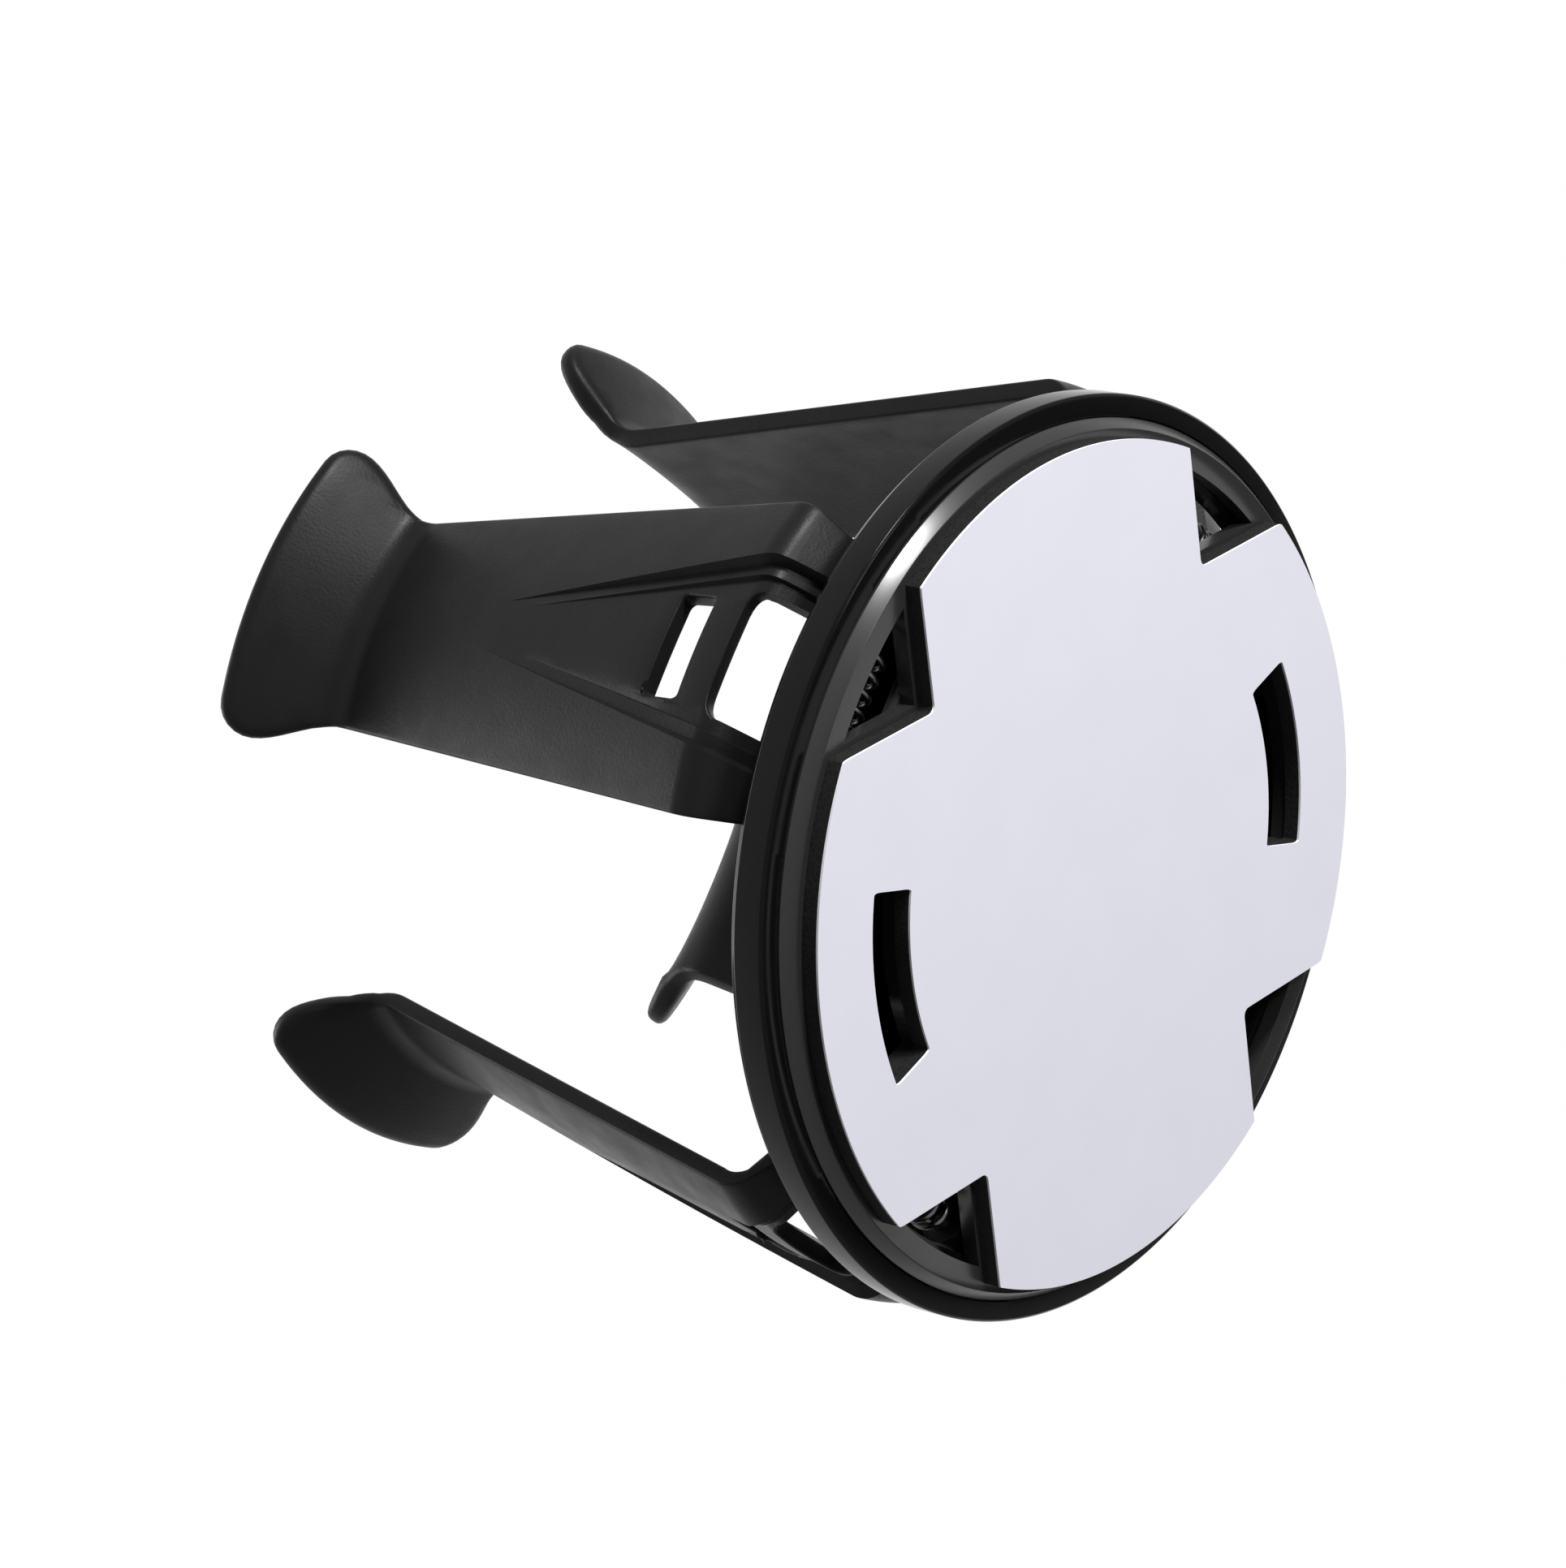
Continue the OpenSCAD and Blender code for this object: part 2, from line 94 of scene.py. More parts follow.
class BaseSizes(bpy.types.PropertyGroup):
    """Sizes of the round base, whose outer sizes come from the frame"""
    rim: length("Rim radius", "Outer radius of the base", HOUSING_HIGH.x)
    rim_low: length("Rim foot", "Height of the lower edge of the rim wall", 3.1 * MM)
    rim_top: length("Rim top", "Height of the upper edge of the rim wall", 5.9 * MM)
    platform: length("Platform radius", "Radius of the flat cup platform", 32.5 * MM)
    ceiling: length("Ceiling", "Height of the room inside the base", 8.4 * MM)
    room: length("Room radius", "Radius of the room inside the base", 36.6 * MM)
    window_reach: length("Cover windows", "Radius that the cover's windows reach to", 35.2 * MM)
    shelf_inner: length("Pocket shelf", "Inner radius of the shelf in the arm pockets", 34.5 * MM)
    shelf_outer: length("Shelf root", "Radius where the shelf ends in the walls", 38.25 * MM)
    cover_bevel: length("Cover bevel", "Height of the bevel round the cover", 1.1 * MM)
    window_margin: length("Window margin", "Room round the pad's notches in the cover", 0.5 * MM)
    slot_margin: length("Slot margin", "Room round the pad's slots in the cover", 0.2 * MM)
    screw_circle: length("Screw circle", "Distance of the screws from the cup axis", 19 * MM)
    boss: length("Boss radius", "Radius of the screw bosses", 3.05 * MM)
    boss_hole: length("Boss hole", "Radius of the holes in the screw bosses", 1.3 * MM)
    cover_hole: length("Cover hole", "Radius of the screw holes in the cover", 1.35 * MM)
    sink: length("Countersink", "Radius of the screws' countersinks", 2.5 * MM)
    sink_depth: length("Countersink depth", "Depth of the screws' countersinks", 1.15 * MM)
    edge_round: length("Edge round", "Radius of the small rounds on moulded edges", 0.12 * MM)


class HingeSizes(bpy.types.PropertyGroup):
    """Sizes of the pockets and of what sits in them"""
    pocket: length("Pocket radius", "Radius of the outer wall of an arm pocket", 38.2 * MM)
    pocket_inner: length("Pocket inner radius", "Radius of the inner wall of an arm pocket", 29.69 * MM)
    pocket_half: length("Pocket half width", "Half of the width of an arm pocket", 15 * MM)
    pocket_wall: length("Pocket wall", "Thickness of the walls beside an arm pocket", 1.6 * MM)
    seat: length("Seat radius", "Radius of the half-round pin seats", 2.9 * MM)
    seat_width: length("Seat width", "Width of each pin seat", 2.8 * MM)
    seat_floor: length("Seat floor", "Height of the underside of the pin seats", 4.3 * MM)
    wire: length("Wire radius", "Radius of the spring wire", 0.3 * MM)
    coil: length("Coil radius", "Radius to the middle of the spring wire", 1.6 * MM)
    coil_length: length("Coil length", "Length of the wound part of a spring", 9.6 * MM)
    turns: IntProperty(name="Turns", description="Number of turns of a spring", default=6, min=1)
    leg: length("Spring leg", "Reach of the spring's leg inwards from the hinge", 4.6 * MM)
    hook_hole: length("Hook hole", "Radius of the hole in the lug for the spring's end", 0.4 * MM)
    hook_depth: length("Hook depth", "Depth of that hole from the window", 1.9 * MM)
    pin_play: length("Pin play", "Room round the pin in the arm's lugs", 0.05 * MM)
    end_round: length("End round", "Radius of the rounds on the ends of lugs and pins", 0.2 * MM)


class ArmSizes(bpy.types.PropertyGroup):
    """Sizes of an arm, whose side view runs from the hinge to the fold, the neck and the tip of the lip"""
    fold_radius: length("Fold radius", "Distance of the fold from the cup axis", 40.7 * MM)
    fold_height: length("Fold height", "Height of the fold", 12 * MM)
    neck_radius: length("Neck radius", "Distance of the neck from the cup axis", 30.22 * MM)
    neck_height: length("Neck height", "Height of the neck", 61.3 * MM)
    lip_out: length("Lip reach", "Reach of the lip beyond the neck", 7.65 * MM)
    lip_up: length("Lip rise", "Height of the lip above the neck", 6.75 * MM)
    fold_half: length("Fold half width", "Half of the width at the fold", 14.4 * MM)
    neck_half: length("Neck half width", "Half of the width at the neck", 10 * MM)
    lip_half: length("Lip half width", "Half of the width of the lip", 14.8 * MM)
    lip_round: length("Lip corner", "Radius of the lip's two corners", 3.2 * MM)
    wall: length("Wall", "Thickness at the fold", 3.1 * MM)
    neck_wall: length("Neck wall", "Thickness at the neck", 2.9 * MM)
    lip_wall: length("Lip wall", "Thickness of the lip", 1.9 * MM)
    thin_edge: share("Thin edge", "Thickness of the wall at its edges, as a share", 0.5)
    thin_foot: share("Thin foot edge", "Thickness of the foot at its edges, as a share", 0.35)
    fold_round: length("Fold round", "Outer radius of the fold", 2.6 * MM)
    neck_round: length("Neck round", "Outer radius of the neck's bend", 3.2 * MM)
    foot_half: length("Foot half width", "Half of the width between the pin seats", 11.9 * MM)
    ear: length("Ear", "Distance from the hinge to where the foot widens", 5.2 * MM)
    lug: length("Lug radius", "Radius of the hinge lugs", 2.2 * MM)
    window_half: length("Window half width", "Half of the width of the window", 6 * MM)
    window_up: length("Window height", "Height of the window above the fold", 1.6 * MM)
    window_round: length("Window corner", "Radius of the window's corners", 2 * MM)
    slot_half: length("Slot half width", "Half of the width of the slot", 4.8 * MM)
    slot_low: length("Slot foot", "Height of the slot's lower edge above the fold", 5.5 * MM)
    slot_high: length("Slot top", "Height of the slot's upper edge above the fold", 9.6 * MM)
    slot_round: length("Slot corner", "Radius of the slot's corners", 0.6 * MM)
    recess_half: length("Recess half width", "Half of the width of the recess at the fold", 8.5 * MM)
    recess_end: length("Recess end", "Half of the width of the recess at its upper end", 2.35 * MM)
    recess_up: length("Recess height", "Height of the recess above the fold", 31.1 * MM)
    recess_depth: length("Recess depth", "Depth of the recess at the fold", 1.3 * MM)
    step_in: length("Step inset", "Width of the recess's floor outside the step", 1.3 * MM)
    step_short: length("Step end", "Distance of the step's upper end below the recess's", 1.2 * MM)
    step_depth: length("Step depth", "Further depth of the step", 0.28 * MM)
    edge_round: length("Edge round", "Radius of the rounds on the arm's edges", 0.28 * MM)
    lip_edge: length("Lip edge round", "Radius of the rounds on the lip's edge", 1.15 * MM)


class PadSizes(bpy.types.PropertyGroup):
    """Sizes of the adhesive pad and its openings"""
    radius: length("Pad radius", "Radius of the adhesive pad", 36.5 * MM)
    notch_a: length("Notch distance", "Distance of a notch edge from the first centre line", 18.3 * MM)
    notch_b: length("Notch distance across", "Distance of a notch edge from the second line", 20.8 * MM)
    corner: length("Corner round", "Radius of the corners of the cut sheet", 0.7 * MM)
    slot: length("Slot radius", "Radius to the middle of the twist slots", 27.2 * MM)
    slot_width: length("Slot width", "Width of the twist slots", 4.8 * MM)
    slot_span: angle("Slot span", "Angle that each twist slot spans", 34)
    slot_turn: angle("Slot turn", "Angle of the first twist slot about the cup axis", -45)
    notch_turn: angle("Notch turn", "Angle of the notches' centre lines to the arms", -45)


class MatSizes(bpy.types.PropertyGroup):
    """Sizes of the rubber seat mat"""
    rings: IntProperty(name="Rings", description="Number of ring grooves", default=4, min=1)
    groove: length("Groove depth", "Depth of the ring grooves", 0.4 * MM)
    edge: length("Edge round", "Radius of the mat's upper edge", 0.35 * MM)


class Finishes(bpy.types.PropertyGroup):
    """Colours and roughness of the materials"""
    gloss: colour("Gloss black", "Colour of the base mouldings", (0.003, 0.003, 0.0033))
    gloss_rough: share("Gloss roughness", "Roughness of the base mouldings", 0.12)
    satin: colour("Satin black", "Colour of the arms", (0.007, 0.007, 0.0075))
    satin_rough: share("Satin roughness", "Roughness of the arms", 0.37)
    liner: colour("Liner", "Colour of the release liner", (0.69, 0.69, 0.77))
    paper: colour("Cut edge", "Colour of the liner's cut edge", (0.92, 0.92, 0.93))
    foam: colour("Foam", "Colour of the foam pad", (0.006, 0.006, 0.0065))
    rubber: colour("Rubber", "Colour of the seat mat", (0.02, 0.02, 0.021))
    steel: colour("Steel", "Colour of the pins and springs", (0.12, 0.12, 0.125))
    zinc: colour("Zinc", "Colour of the plated screws", (0.6, 0.61, 0.63))


class Studio(bpy.types.PropertyGroup):
    """Camera and light"""
    azimuth: angle("Camera azimuth", "Direction of the camera from the X axis", -17.163)
    elevation: angle("Camera elevation", "Height of the camera, below the horizon", -39.130)
    roll: angle("Camera roll", "Turn of the camera about its own line of sight", 78.617)
    distance: length("Camera distance", "Distance from the aim point", 540.66 * MM)
    lens: FloatProperty(name="Lens", description="Focal length in millimetres", default=141.47)
    key: power("Key light", "Power of the key light", 5.5)
    fill: power("Fill light", "Power of the fill light", 3.3)
    top: power("Top light", "Power of the overhead light", 3.0)
    sky: share("Sky", "Strength of the world's own light", 0.22)


class CupHolderSettings(bpy.types.PropertyGroup):
    """Everything that a user would change"""
    base: PointerProperty(type=BaseSizes)
    hinge: PointerProperty(type=HingeSizes)
    arm: PointerProperty(type=ArmSizes)
    pad: PointerProperty(type=PadSizes)
    mat: PointerProperty(type=MatSizes)
    finish: PointerProperty(type=Finishes)
    studio: PointerProperty(type=Studio)


# Modelling helpers

# Sides of the round pieces, rods, bores, hook holes and countersinks
SPIN_STEPS = 240
ROD_STEPS = 64
BORE_STEPS = 32
HOOK_STEPS = 24
SINK_STEPS = 48
CORNER_SEGMENTS = 5
SMOOTH_ANGLE = math.radians(32)
SOFTEN_ANGLE = math.radians(40)
CORNER_ANGLE = math.radians(20)
# An edge is upright when its rise is more than this many times its run
STEEP = 10
# A round takes up at most this share of either side of its corner
LONGEST_ROUND = 0.45
# A face is level when the upright part of its normal is more than the first of these, and upright
# when it is less than the second
LEVEL, UPRIGHT = 0.7, 0.1
# Points nearer than this are one
MERGE = 1e-6


def linked(name, data):
    """A new object in the scene"""
    piece = bpy.data.objects.new(name, data)
    bpy.context.scene.collection.objects.link(piece)
    return piece


def activate(piece):
    bpy.ops.object.select_all(action="DESELECT")
    piece.select_set(True)
    bpy.context.view_layer.objects.active = piece


def modify(piece, kind, **settings):
    """Adds a modifier and applies it"""
    activate(piece)
    bpy.ops.object.modifier_add(type=kind)
    modifier = piece.modifiers[-1]
    for key, value in settings.items():
        setattr(modifier, key, value)
    bpy.ops.object.modifier_apply(modifier=modifier.name)
    return piece


def combine(piece, tool, operation):
    """Joins, cuts or clips a piece with a tool, which is used up"""
    modify(piece, "BOOLEAN", object=tool, operation=operation, solver="EXACT")
    bpy.data.objects.remove(tool)
    return piece


def cut(piece, tool):
    return combine(piece, tool, "DIFFERENCE")


def clip(piece, tool):
    return combine(piece, tool, "INTERSECT")


def join(piece, tool):
    return combine(piece, tool, "UNION")


def placed(piece):
    """Puts the piece's place and turn into its mesh"""
    activate(piece)
    bpy.ops.object.transform_apply(location=True, rotation=True, scale=True)
    return piece


def turned(piece, degrees):
    piece.rotation_euler.z = math.radians(degrees)
    return placed(piece)


def turned_copy(piece, degrees):
    """A copy with its own mesh, turned about the cup axis"""
    activate(piece)
    bpy.ops.object.duplicate()
    return turned(bpy.context.view_layer.objects.active, degrees)


def cut_round(piece, *tools):
    """Cuts a piece with tools at each quarter turn, and uses the tools up"""
    for turn in range(4):
        for tool in tools:
            cut(piece, turned_copy(tool, turn * QUARTER_TURN))
    for tool in tools:
        bpy.data.objects.remove(tool)


def block(low, high):
    """A box between two corners"""
    low, high = Vector(low), Vector(high)
    bpy.ops.object.select_all(action="DESELECT")
    bpy.ops.mesh.primitive_cube_add(size=1, location=(low + high) / 2, scale=high - low)
    return placed(bpy.context.object)


def rod(radius, start, end, vertices=ROD_STEPS):
    """A round bar between two points"""
    start, end = Vector(start), Vector(end)
    bpy.ops.object.select_all(action="DESELECT")
    bpy.ops.mesh.primitive_cylinder_add(vertices=vertices, radius=radius, depth=(end - start).length,
                                        location=(start + end) / 2)
    bar = bpy.context.object
    bar.rotation_mode = "QUATERNION"
    bar.rotation_quaternion = (end - start).to_track_quat("Z", "Y")
    placed(bar)
    bar.rotation_mode = "XYZ"
    return bar


def disc(radius, low, high):
    """A round plate, or the tool for a bore, on the cup axis"""
    return rod(radius, (0, 0, low), (0, 0, high), vertices=SPIN_STEPS)


def rounded(points, radius, steps=4):
    """The points with each corner between the ends replaced by an arc"""
    points = [Vector(p) for p in points]
    out = [points[0]]
    for before, corner, after in zip(points, points[1:], points[2:]):
        a, c = (before - corner).normalized(), (after - corner).normalized()
        half = a.angle(c) / 2
        reach = min(radius / math.tan(half), LONGEST_ROUND * (before - corner).length,
                    LONGEST_ROUND * (after - corner).length)
        centre = corner + (a + c).normalized() * reach / math.cos(half)
        start, end = corner + a * reach - centre, corner + c * reach - centre
        for i in range(steps + 1):
            arm = start.lerp(end, i / steps).normalized() * start.length
            out.append(centre + arm)
    out.append(points[-1])
    return out


def draw_line(points):
    """Draws a line point by point, and leaves it selected in edit mode"""
    bpy.ops.object.select_all(action="DESELECT")
    bpy.ops.mesh.primitive_plane_add(size=MM, location=(0, 0, 0), enter_editmode=True)
    bpy.ops.mesh.merge(type="CENTER")
    bpy.ops.transform.translate(value=points[0])
    for here, there in zip(points, points[1:]):
        bpy.ops.mesh.extrude_region_move(TRANSFORM_OT_translate={"value": there - here})
    bpy.ops.mesh.select_all(action="SELECT")


def edited(merge=False, outward=True):
    """Ends edit mode, after merging doubled points and turning the faces outward where asked"""
    bpy.ops.mesh.select_all(action="SELECT")
    if merge:
        bpy.ops.mesh.remove_doubles(threshold=MERGE)
    if outward:
        bpy.ops.mesh.normals_make_consistent(inside=False)
    bpy.ops.object.mode_set(mode="OBJECT")
    return bpy.context.object


def spun(section):
    """A solid of revolution, from a section that starts and ends on the cup axis"""
    draw_line([Vector((p[0], 0, p[1])) for p in section])
    bpy.ops.mesh.spin(steps=SPIN_STEPS, angle=2 * math.pi, center=(0, 0, 0), axis=(0, 0, 1))
    return edited(merge=True)


def cad_copy(node):
    """A merged copy of a CAD node's mesh"""
    piece = linked(node + "_copy", frame["nodes"][node].data.copy())
    piece.data.materials.clear()
    activate(piece)
    bpy.ops.object.mode_set(mode="EDIT")
    return edited(merge=True, outward=False)


def soften(piece, radius, segments=2):
    """Rounds a piece's sharp edges"""
    return modify(piece, "BEVEL", width=radius, segments=segments, limit_method="ANGLE",
                  angle_limit=SOFTEN_ANGLE, use_clamp_overlap=False, miter_outer="MITER_ARC",
                  harden_normals=False)


def finish(piece, name, body, slot, material, *nodes):
    """Names a piece, gives it its material and ties it to the frame"""
    piece.name = piece.data.name = name
    activate(piece)
    bpy.ops.object.shade_smooth_by_angle(angle=SMOOTH_ANGLE)
    if not piece.data.materials:
        piece.data.materials.append(material)
    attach(piece, body)
    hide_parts(*nodes)
    return piece


def finish_four(first, name, slot, material, node, bodies=("base",) * 4):
    """Copies the first hinge's piece to the other three, and finishes all four"""
    for arm in ARMS[1:]:
        piece = turned_copy(first, (arm - 1) * QUARTER_TURN)
        finish(piece, f"{name}_{arm}", bodies[arm - 1], slot, material, f"{node}_{arm}")
    finish(first, f"{name}_1", bodies[0], slot, material, f"{node}_1")


# Materials

# Middle part of a noise pattern's values, where most of them lie
NOISE_BAND = (0.3, 0.7)
# How far a moulding's roughness strays from its set value
SMOOTHER, ROUGHER = 0.05, 0.06


def new_material(name, rgb, roughness, metallic=0.0, specular=0.5):
    material = bpy.data.materials.new(name)
    material.use_nodes = True
    shader = material.node_tree.nodes["Principled BSDF"]
    shader.inputs["Base Color"].default_value = (*rgb, 1)
    shader.inputs["Roughness"].default_value = roughness
    shader.inputs["Metallic"].default_value = metallic
    shader.inputs["Specular IOR Level"].default_value = specular
    return material


def noise(material, scale, detail=2.0, stretch=(1, 1, 1)):
    """A noise pattern that is fixed to the piece"""
    nodes, links = material.node_tree.nodes, material.node_tree.links
    place = nodes.new("ShaderNodeTexCoord")
    mapping = nodes.new("ShaderNodeMapping")
    mapping.inputs["Scale"].default_value = stretch
    texture = nodes.new("ShaderNodeTexNoise")
    texture.inputs["Scale"].default_value = scale
    texture.inputs["Detail"].default_value = detail
    links.new(place.outputs["Object"], mapping.inputs["Vector"])
    links.new(mapping.outputs["Vector"], texture.inputs["Vector"])
    return texture.outputs["Fac"]


def cells(material, scale):
    nodes, links = material.node_tree.nodes, material.node_tree.links
    place = nodes.new("ShaderNodeTexCoord")
    texture = nodes.new("ShaderNodeTexVoronoi")
    texture.inputs["Scale"].default_value = scale
    links.new(place.outputs["Object"], texture.inputs["Vector"])
    return texture.outputs["Distance"]


def roughen(material, pattern, low, high):
    """Lets a pattern drive the roughness between two values"""
    nodes, links = material.node_tree.nodes, material.node_tree.links
    spread = nodes.new("ShaderNodeMapRange")
    spread.inputs["From Min"].default_value, spread.inputs["From Max"].default_value = NOISE_BAND
    spread.inputs["To Min"].default_value = low
    spread.inputs["To Max"].default_value = high
    links.new(pattern, spread.inputs["Value"])
    links.new(spread.outputs["Result"], nodes["Principled BSDF"].inputs["Roughness"])


def tint(material, pattern, dark, light, band=NOISE_BAND):
    """Lets a pattern drive the colour between two shades"""
    nodes, links = material.node_tree.nodes, material.node_tree.links
    ramp = nodes.new("ShaderNodeValToRGB")
    for element, position, rgb in zip(ramp.color_ramp.elements, band, (dark, light)):
        element.position = position
        element.color = (*rgb, 1)
    links.new(pattern, ramp.inputs["Fac"])
    links.new(ramp.outputs["Color"], nodes["Principled BSDF"].inputs["Base Color"])


def emboss(material, pattern, depth, strength=1.0):
    """Adds a bump layer on top of those already there"""
    nodes, links = material.node_tree.nodes, material.node_tree.links
    shader = nodes["Principled BSDF"]
    bump = nodes.new("ShaderNodeBump")
    bump.inputs["Distance"].default_value = depth
    bump.inputs["Strength"].default_value = strength
    links.new(pattern, bump.inputs["Height"])
    if shader.inputs["Normal"].is_linked:
        links.new(shader.inputs["Normal"].links[0].from_socket, bump.inputs["Normal"])
    links.new(bump.outputs["Normal"], shader.inputs["Normal"])


def scaled(rgb, factor):
    """A darker or lighter shade of a colour"""
    return tuple(min(1.0, c * factor) for c in rgb)


def gloss_black(look):
    """Polished moulded plastic with a faint waviness and dust-fine specks"""
    material = new_material("gloss_black", look.gloss, look.gloss_rough, specular=0.13)
    grain = noise(material, scale=180, detail=3)
    roughen(material, grain, look.gloss_rough - SMOOTHER, look.gloss_rough + ROUGHER)
    tint(material, noise(material, scale=60), scaled(look.gloss, 0.9), scaled(look.gloss, 1.15))
    emboss(material, noise(material, scale=140), depth=0.01 * MM, strength=0.3)
    emboss(material, noise(material, scale=5200), depth=0.002 * MM, strength=0.3)
    return material


def satin_black(look):
    """Spark-eroded moulded plastic, whose grain glitters where light skims it"""
    material = new_material("satin_black", look.satin, look.satin_rough, specular=0.1)
    grain = noise(material, scale=260, detail=3)
    roughen(material, grain, look.satin_rough - SMOOTHER, look.satin_rough + ROUGHER)
    tint(material, noise(material, scale=90, detail=3), scaled(look.satin, 0.88), scaled(look.satin, 1.15))
    emboss(material, noise(material, scale=3600, detail=3), depth=0.03 * MM, strength=0.6)
    return material


def liner_film(look):
    """Coated release paper: faint fibre clouds under a smooth film"""
    material = new_material("liner_film", look.liner, roughness=0.45, specular=0.3)
    roughen(material, noise(material, scale=300, detail=4), low=0.4, high=0.5)
    tint(material, noise(material, scale=130, detail=5), scaled(look.liner, 0.985), scaled(look.liner, 1.01))
    fibres = noise(material, scale=900, detail=4, stretch=(1, 0.35, 1))
    emboss(material, fibres, depth=0.006 * MM, strength=0.2)
    return material


def cut_paper(look):
    """The bright cut edge of the liner"""
    material = new_material("cut_paper", look.paper, roughness=0.8, specular=0.2)
    tint(material, noise(material, scale=2500, detail=3), scaled(look.paper, 0.96), look.paper)
    emboss(material, noise(material, scale=4000, detail=3), depth=0.01 * MM, strength=0.3)
    return material


def black_foam(look):
    material = new_material("black_foam", look.foam, roughness=0.9, specular=0.2)
    pores = cells(material, scale=2600)
    # The pores' pits are painted darker than the cell walls between them: painted shade in the pits, on top
    # of their bump
    tint(material, pores, scaled(look.foam, 0.5), scaled(look.foam, 1.6), band=(0.1, 0.6))
    emboss(material, pores, depth=0.05 * MM, strength=0.5)
    return material


def black_rubber(look):
    material = new_material("black_rubber", look.rubber, roughness=0.7, specular=0.3)
    roughen(material, noise(material, scale=400, detail=3), low=0.62, high=0.8)
    tint(material, noise(material, scale=70, detail=4), scaled(look.rubber, 0.85), scaled(look.rubber, 1.3))
    emboss(material, noise(material, scale=2400, detail=4), depth=0.02 * MM, strength=0.5)
    return material


def drawn_steel(look):
    """Drawn wire and pins with fine lines along the metal"""
    material = new_material("drawn_steel", look.steel, roughness=0.3, metallic=1.0)
    roughen(material, noise(material, scale=900, detail=3, stretch=(1, 0.08, 1)), low=0.22, high=0.42)
    tint(material, noise(material, scale=500, detail=3), scaled(look.steel, 0.8), scaled(look.steel, 1.1))
    lines = noise(material, scale=2600, detail=2, stretch=(1, 0.06, 1))
    emboss(material, lines, depth=0.004 * MM, strength=0.5)
    return material


def plated_zinc(look):
    material = new_material("plated_zinc", look.zinc, roughness=0.32, metallic=1.0)
    roughen(material, noise(material, scale=1200, detail=4), low=0.25, high=0.42)
    tint(material, noise(material, scale=600, detail=3), scaled(look.zinc, 0.85), scaled(look.zinc, 1.08))
    emboss(material, noise(material, scale=3000, detail=3), depth=0.004 * MM, strength=0.5)
    return material


# Base

# Steps in the housing's section: out or in, and up or down, from the size that each belongs to
PLATFORM_IN, PLATFORM_OUT, PLATFORM_DROP = 0.3 * MM, MM, 0.35 * MM
SHOULDER_IN, SHOULDER_UP = 1.3 * MM, 1.15 * MM
CREST_IN, CREST_UP = 0.35 * MM, 0.55 * MM
FOOT_IN, FOOT_UP, FOOT_DOWN = 0.25 * MM, 0.2 * MM, 0.05 * MM
COVER_PLAY = 0.02 * MM
ROOM_WALL = 1.8 * MM
ROOM_SLOPE_IN = MM
WALL_REACH = 5 * MM
BOSS_ROOF = 0.4 * MM
GROOVE_PLAY = 0.2 * MM
MAT_PLAY = 0.2 * MM
SHELF_LIFT = 0.1 * MM
# Width of the cover's bevel as a share of its height
BEVEL_SHARE = 0.75


def pin_seats(hinge):
    """The two half-round bosses of one pocket"""
    seats = []
    for side in (-1, 1):
        inner = side * (hinge.pocket_half - hinge.seat_width)
        outer = side * (hinge.pocket_half + MM)
        seat = rod(hinge.seat, (HINGE.x, inner, HINGE.z), (HINGE.x, outer, HINGE.z))
        reach = 2 * hinge.seat
        clip(seat, block((HINGE.x - reach, min(inner, outer), hinge.seat_floor),
                         (HINGE.x + reach, max(inner, outer), HINGE.z + reach)))
        seats.append(seat)
    return seats


def pocket_tool(hinge):
    """The room that one arm's foot moves in, less its pin seats"""
    low, high = HOUSING_LOW.z - MM, HOUSING_HIGH.z + MM
    tool = disc(hinge.pocket, low, high)
    clip(tool, block((0, -hinge.pocket_half, low), (HOUSING_HIGH.x, hinge.pocket_half, high)))
    cut(tool, disc(hinge.pocket_inner, low - MM, high + MM))
    for seat in pin_seats(hinge):
        cut(tool, seat)
    return tool


def pin_groove(hinge):
    """The slot that a pin is laid into from below"""
    end = PIN_HIGH.y + GROOVE_PLAY
    groove = rod(PIN_RADIUS, (HINGE.x, -end, HINGE.z), (HINGE.x, end, HINGE.z))
    return join(groove, block((HINGE.x - PIN_RADIUS, -end, 0), (HINGE.x + PIN_RADIUS, end, HINGE.z)))


def screw_bar(base, radius, low, high, vertices=BORE_STEPS):
    """An upright bar at the first screw's place"""
    return rod(radius, (base.screw_circle, 0, low), (base.screw_circle, 0, high), vertices=vertices)


def housing_section(base):
    """The housing's outline, from the platform round the rim to the seat of the cover"""
    top, lip, floor = HOUSING_HIGH.z, HOUSING_LOW.z, COVER_HIGH.z
    seat = COVER_HIGH.x + COVER_PLAY
    return [(0, top), (base.platform - PLATFORM_IN, top),
            (base.platform + PLATFORM_OUT, top - PLATFORM_DROP),
            (base.rim - SHOULDER_IN, base.rim_top + SHOULDER_UP),
            (base.rim - CREST_IN, base.rim_top + CREST_UP), (base.rim, base.rim_top),
            (base.rim, base.rim_low + FOOT_UP), (base.rim - FOOT_IN, base.rim_low - FOOT_DOWN),
            (seat, lip), (seat, floor), (0, floor)]


def housing_room(base, hinge):
    """The room inside the base, less the pockets' side walls and the screw bosses"""
    floor, above = COVER_HIGH.z, 2 * HOUSING_HIGH.z
    room = spun([(0, floor - MM), (base.room, floor - MM), (base.room, floor + ROOM_WALL),
                 (base.platform - ROOM_SLOPE_IN, base.ceiling), (0, base.ceiling)])
    walls = []
    for side in (-1, 1):
        near, far = sorted((side * hinge.pocket_half, side * (hinge.pocket_half + hinge.pocket_wall)))
        walls.append(block((HINGE.x - WALL_REACH, near, 0), (HINGE.x + WALL_REACH, far, above)))
    cut_round(room, *walls, screw_bar(base, base.boss, 0, above, vertices=2 * BORE_STEPS))
    return room


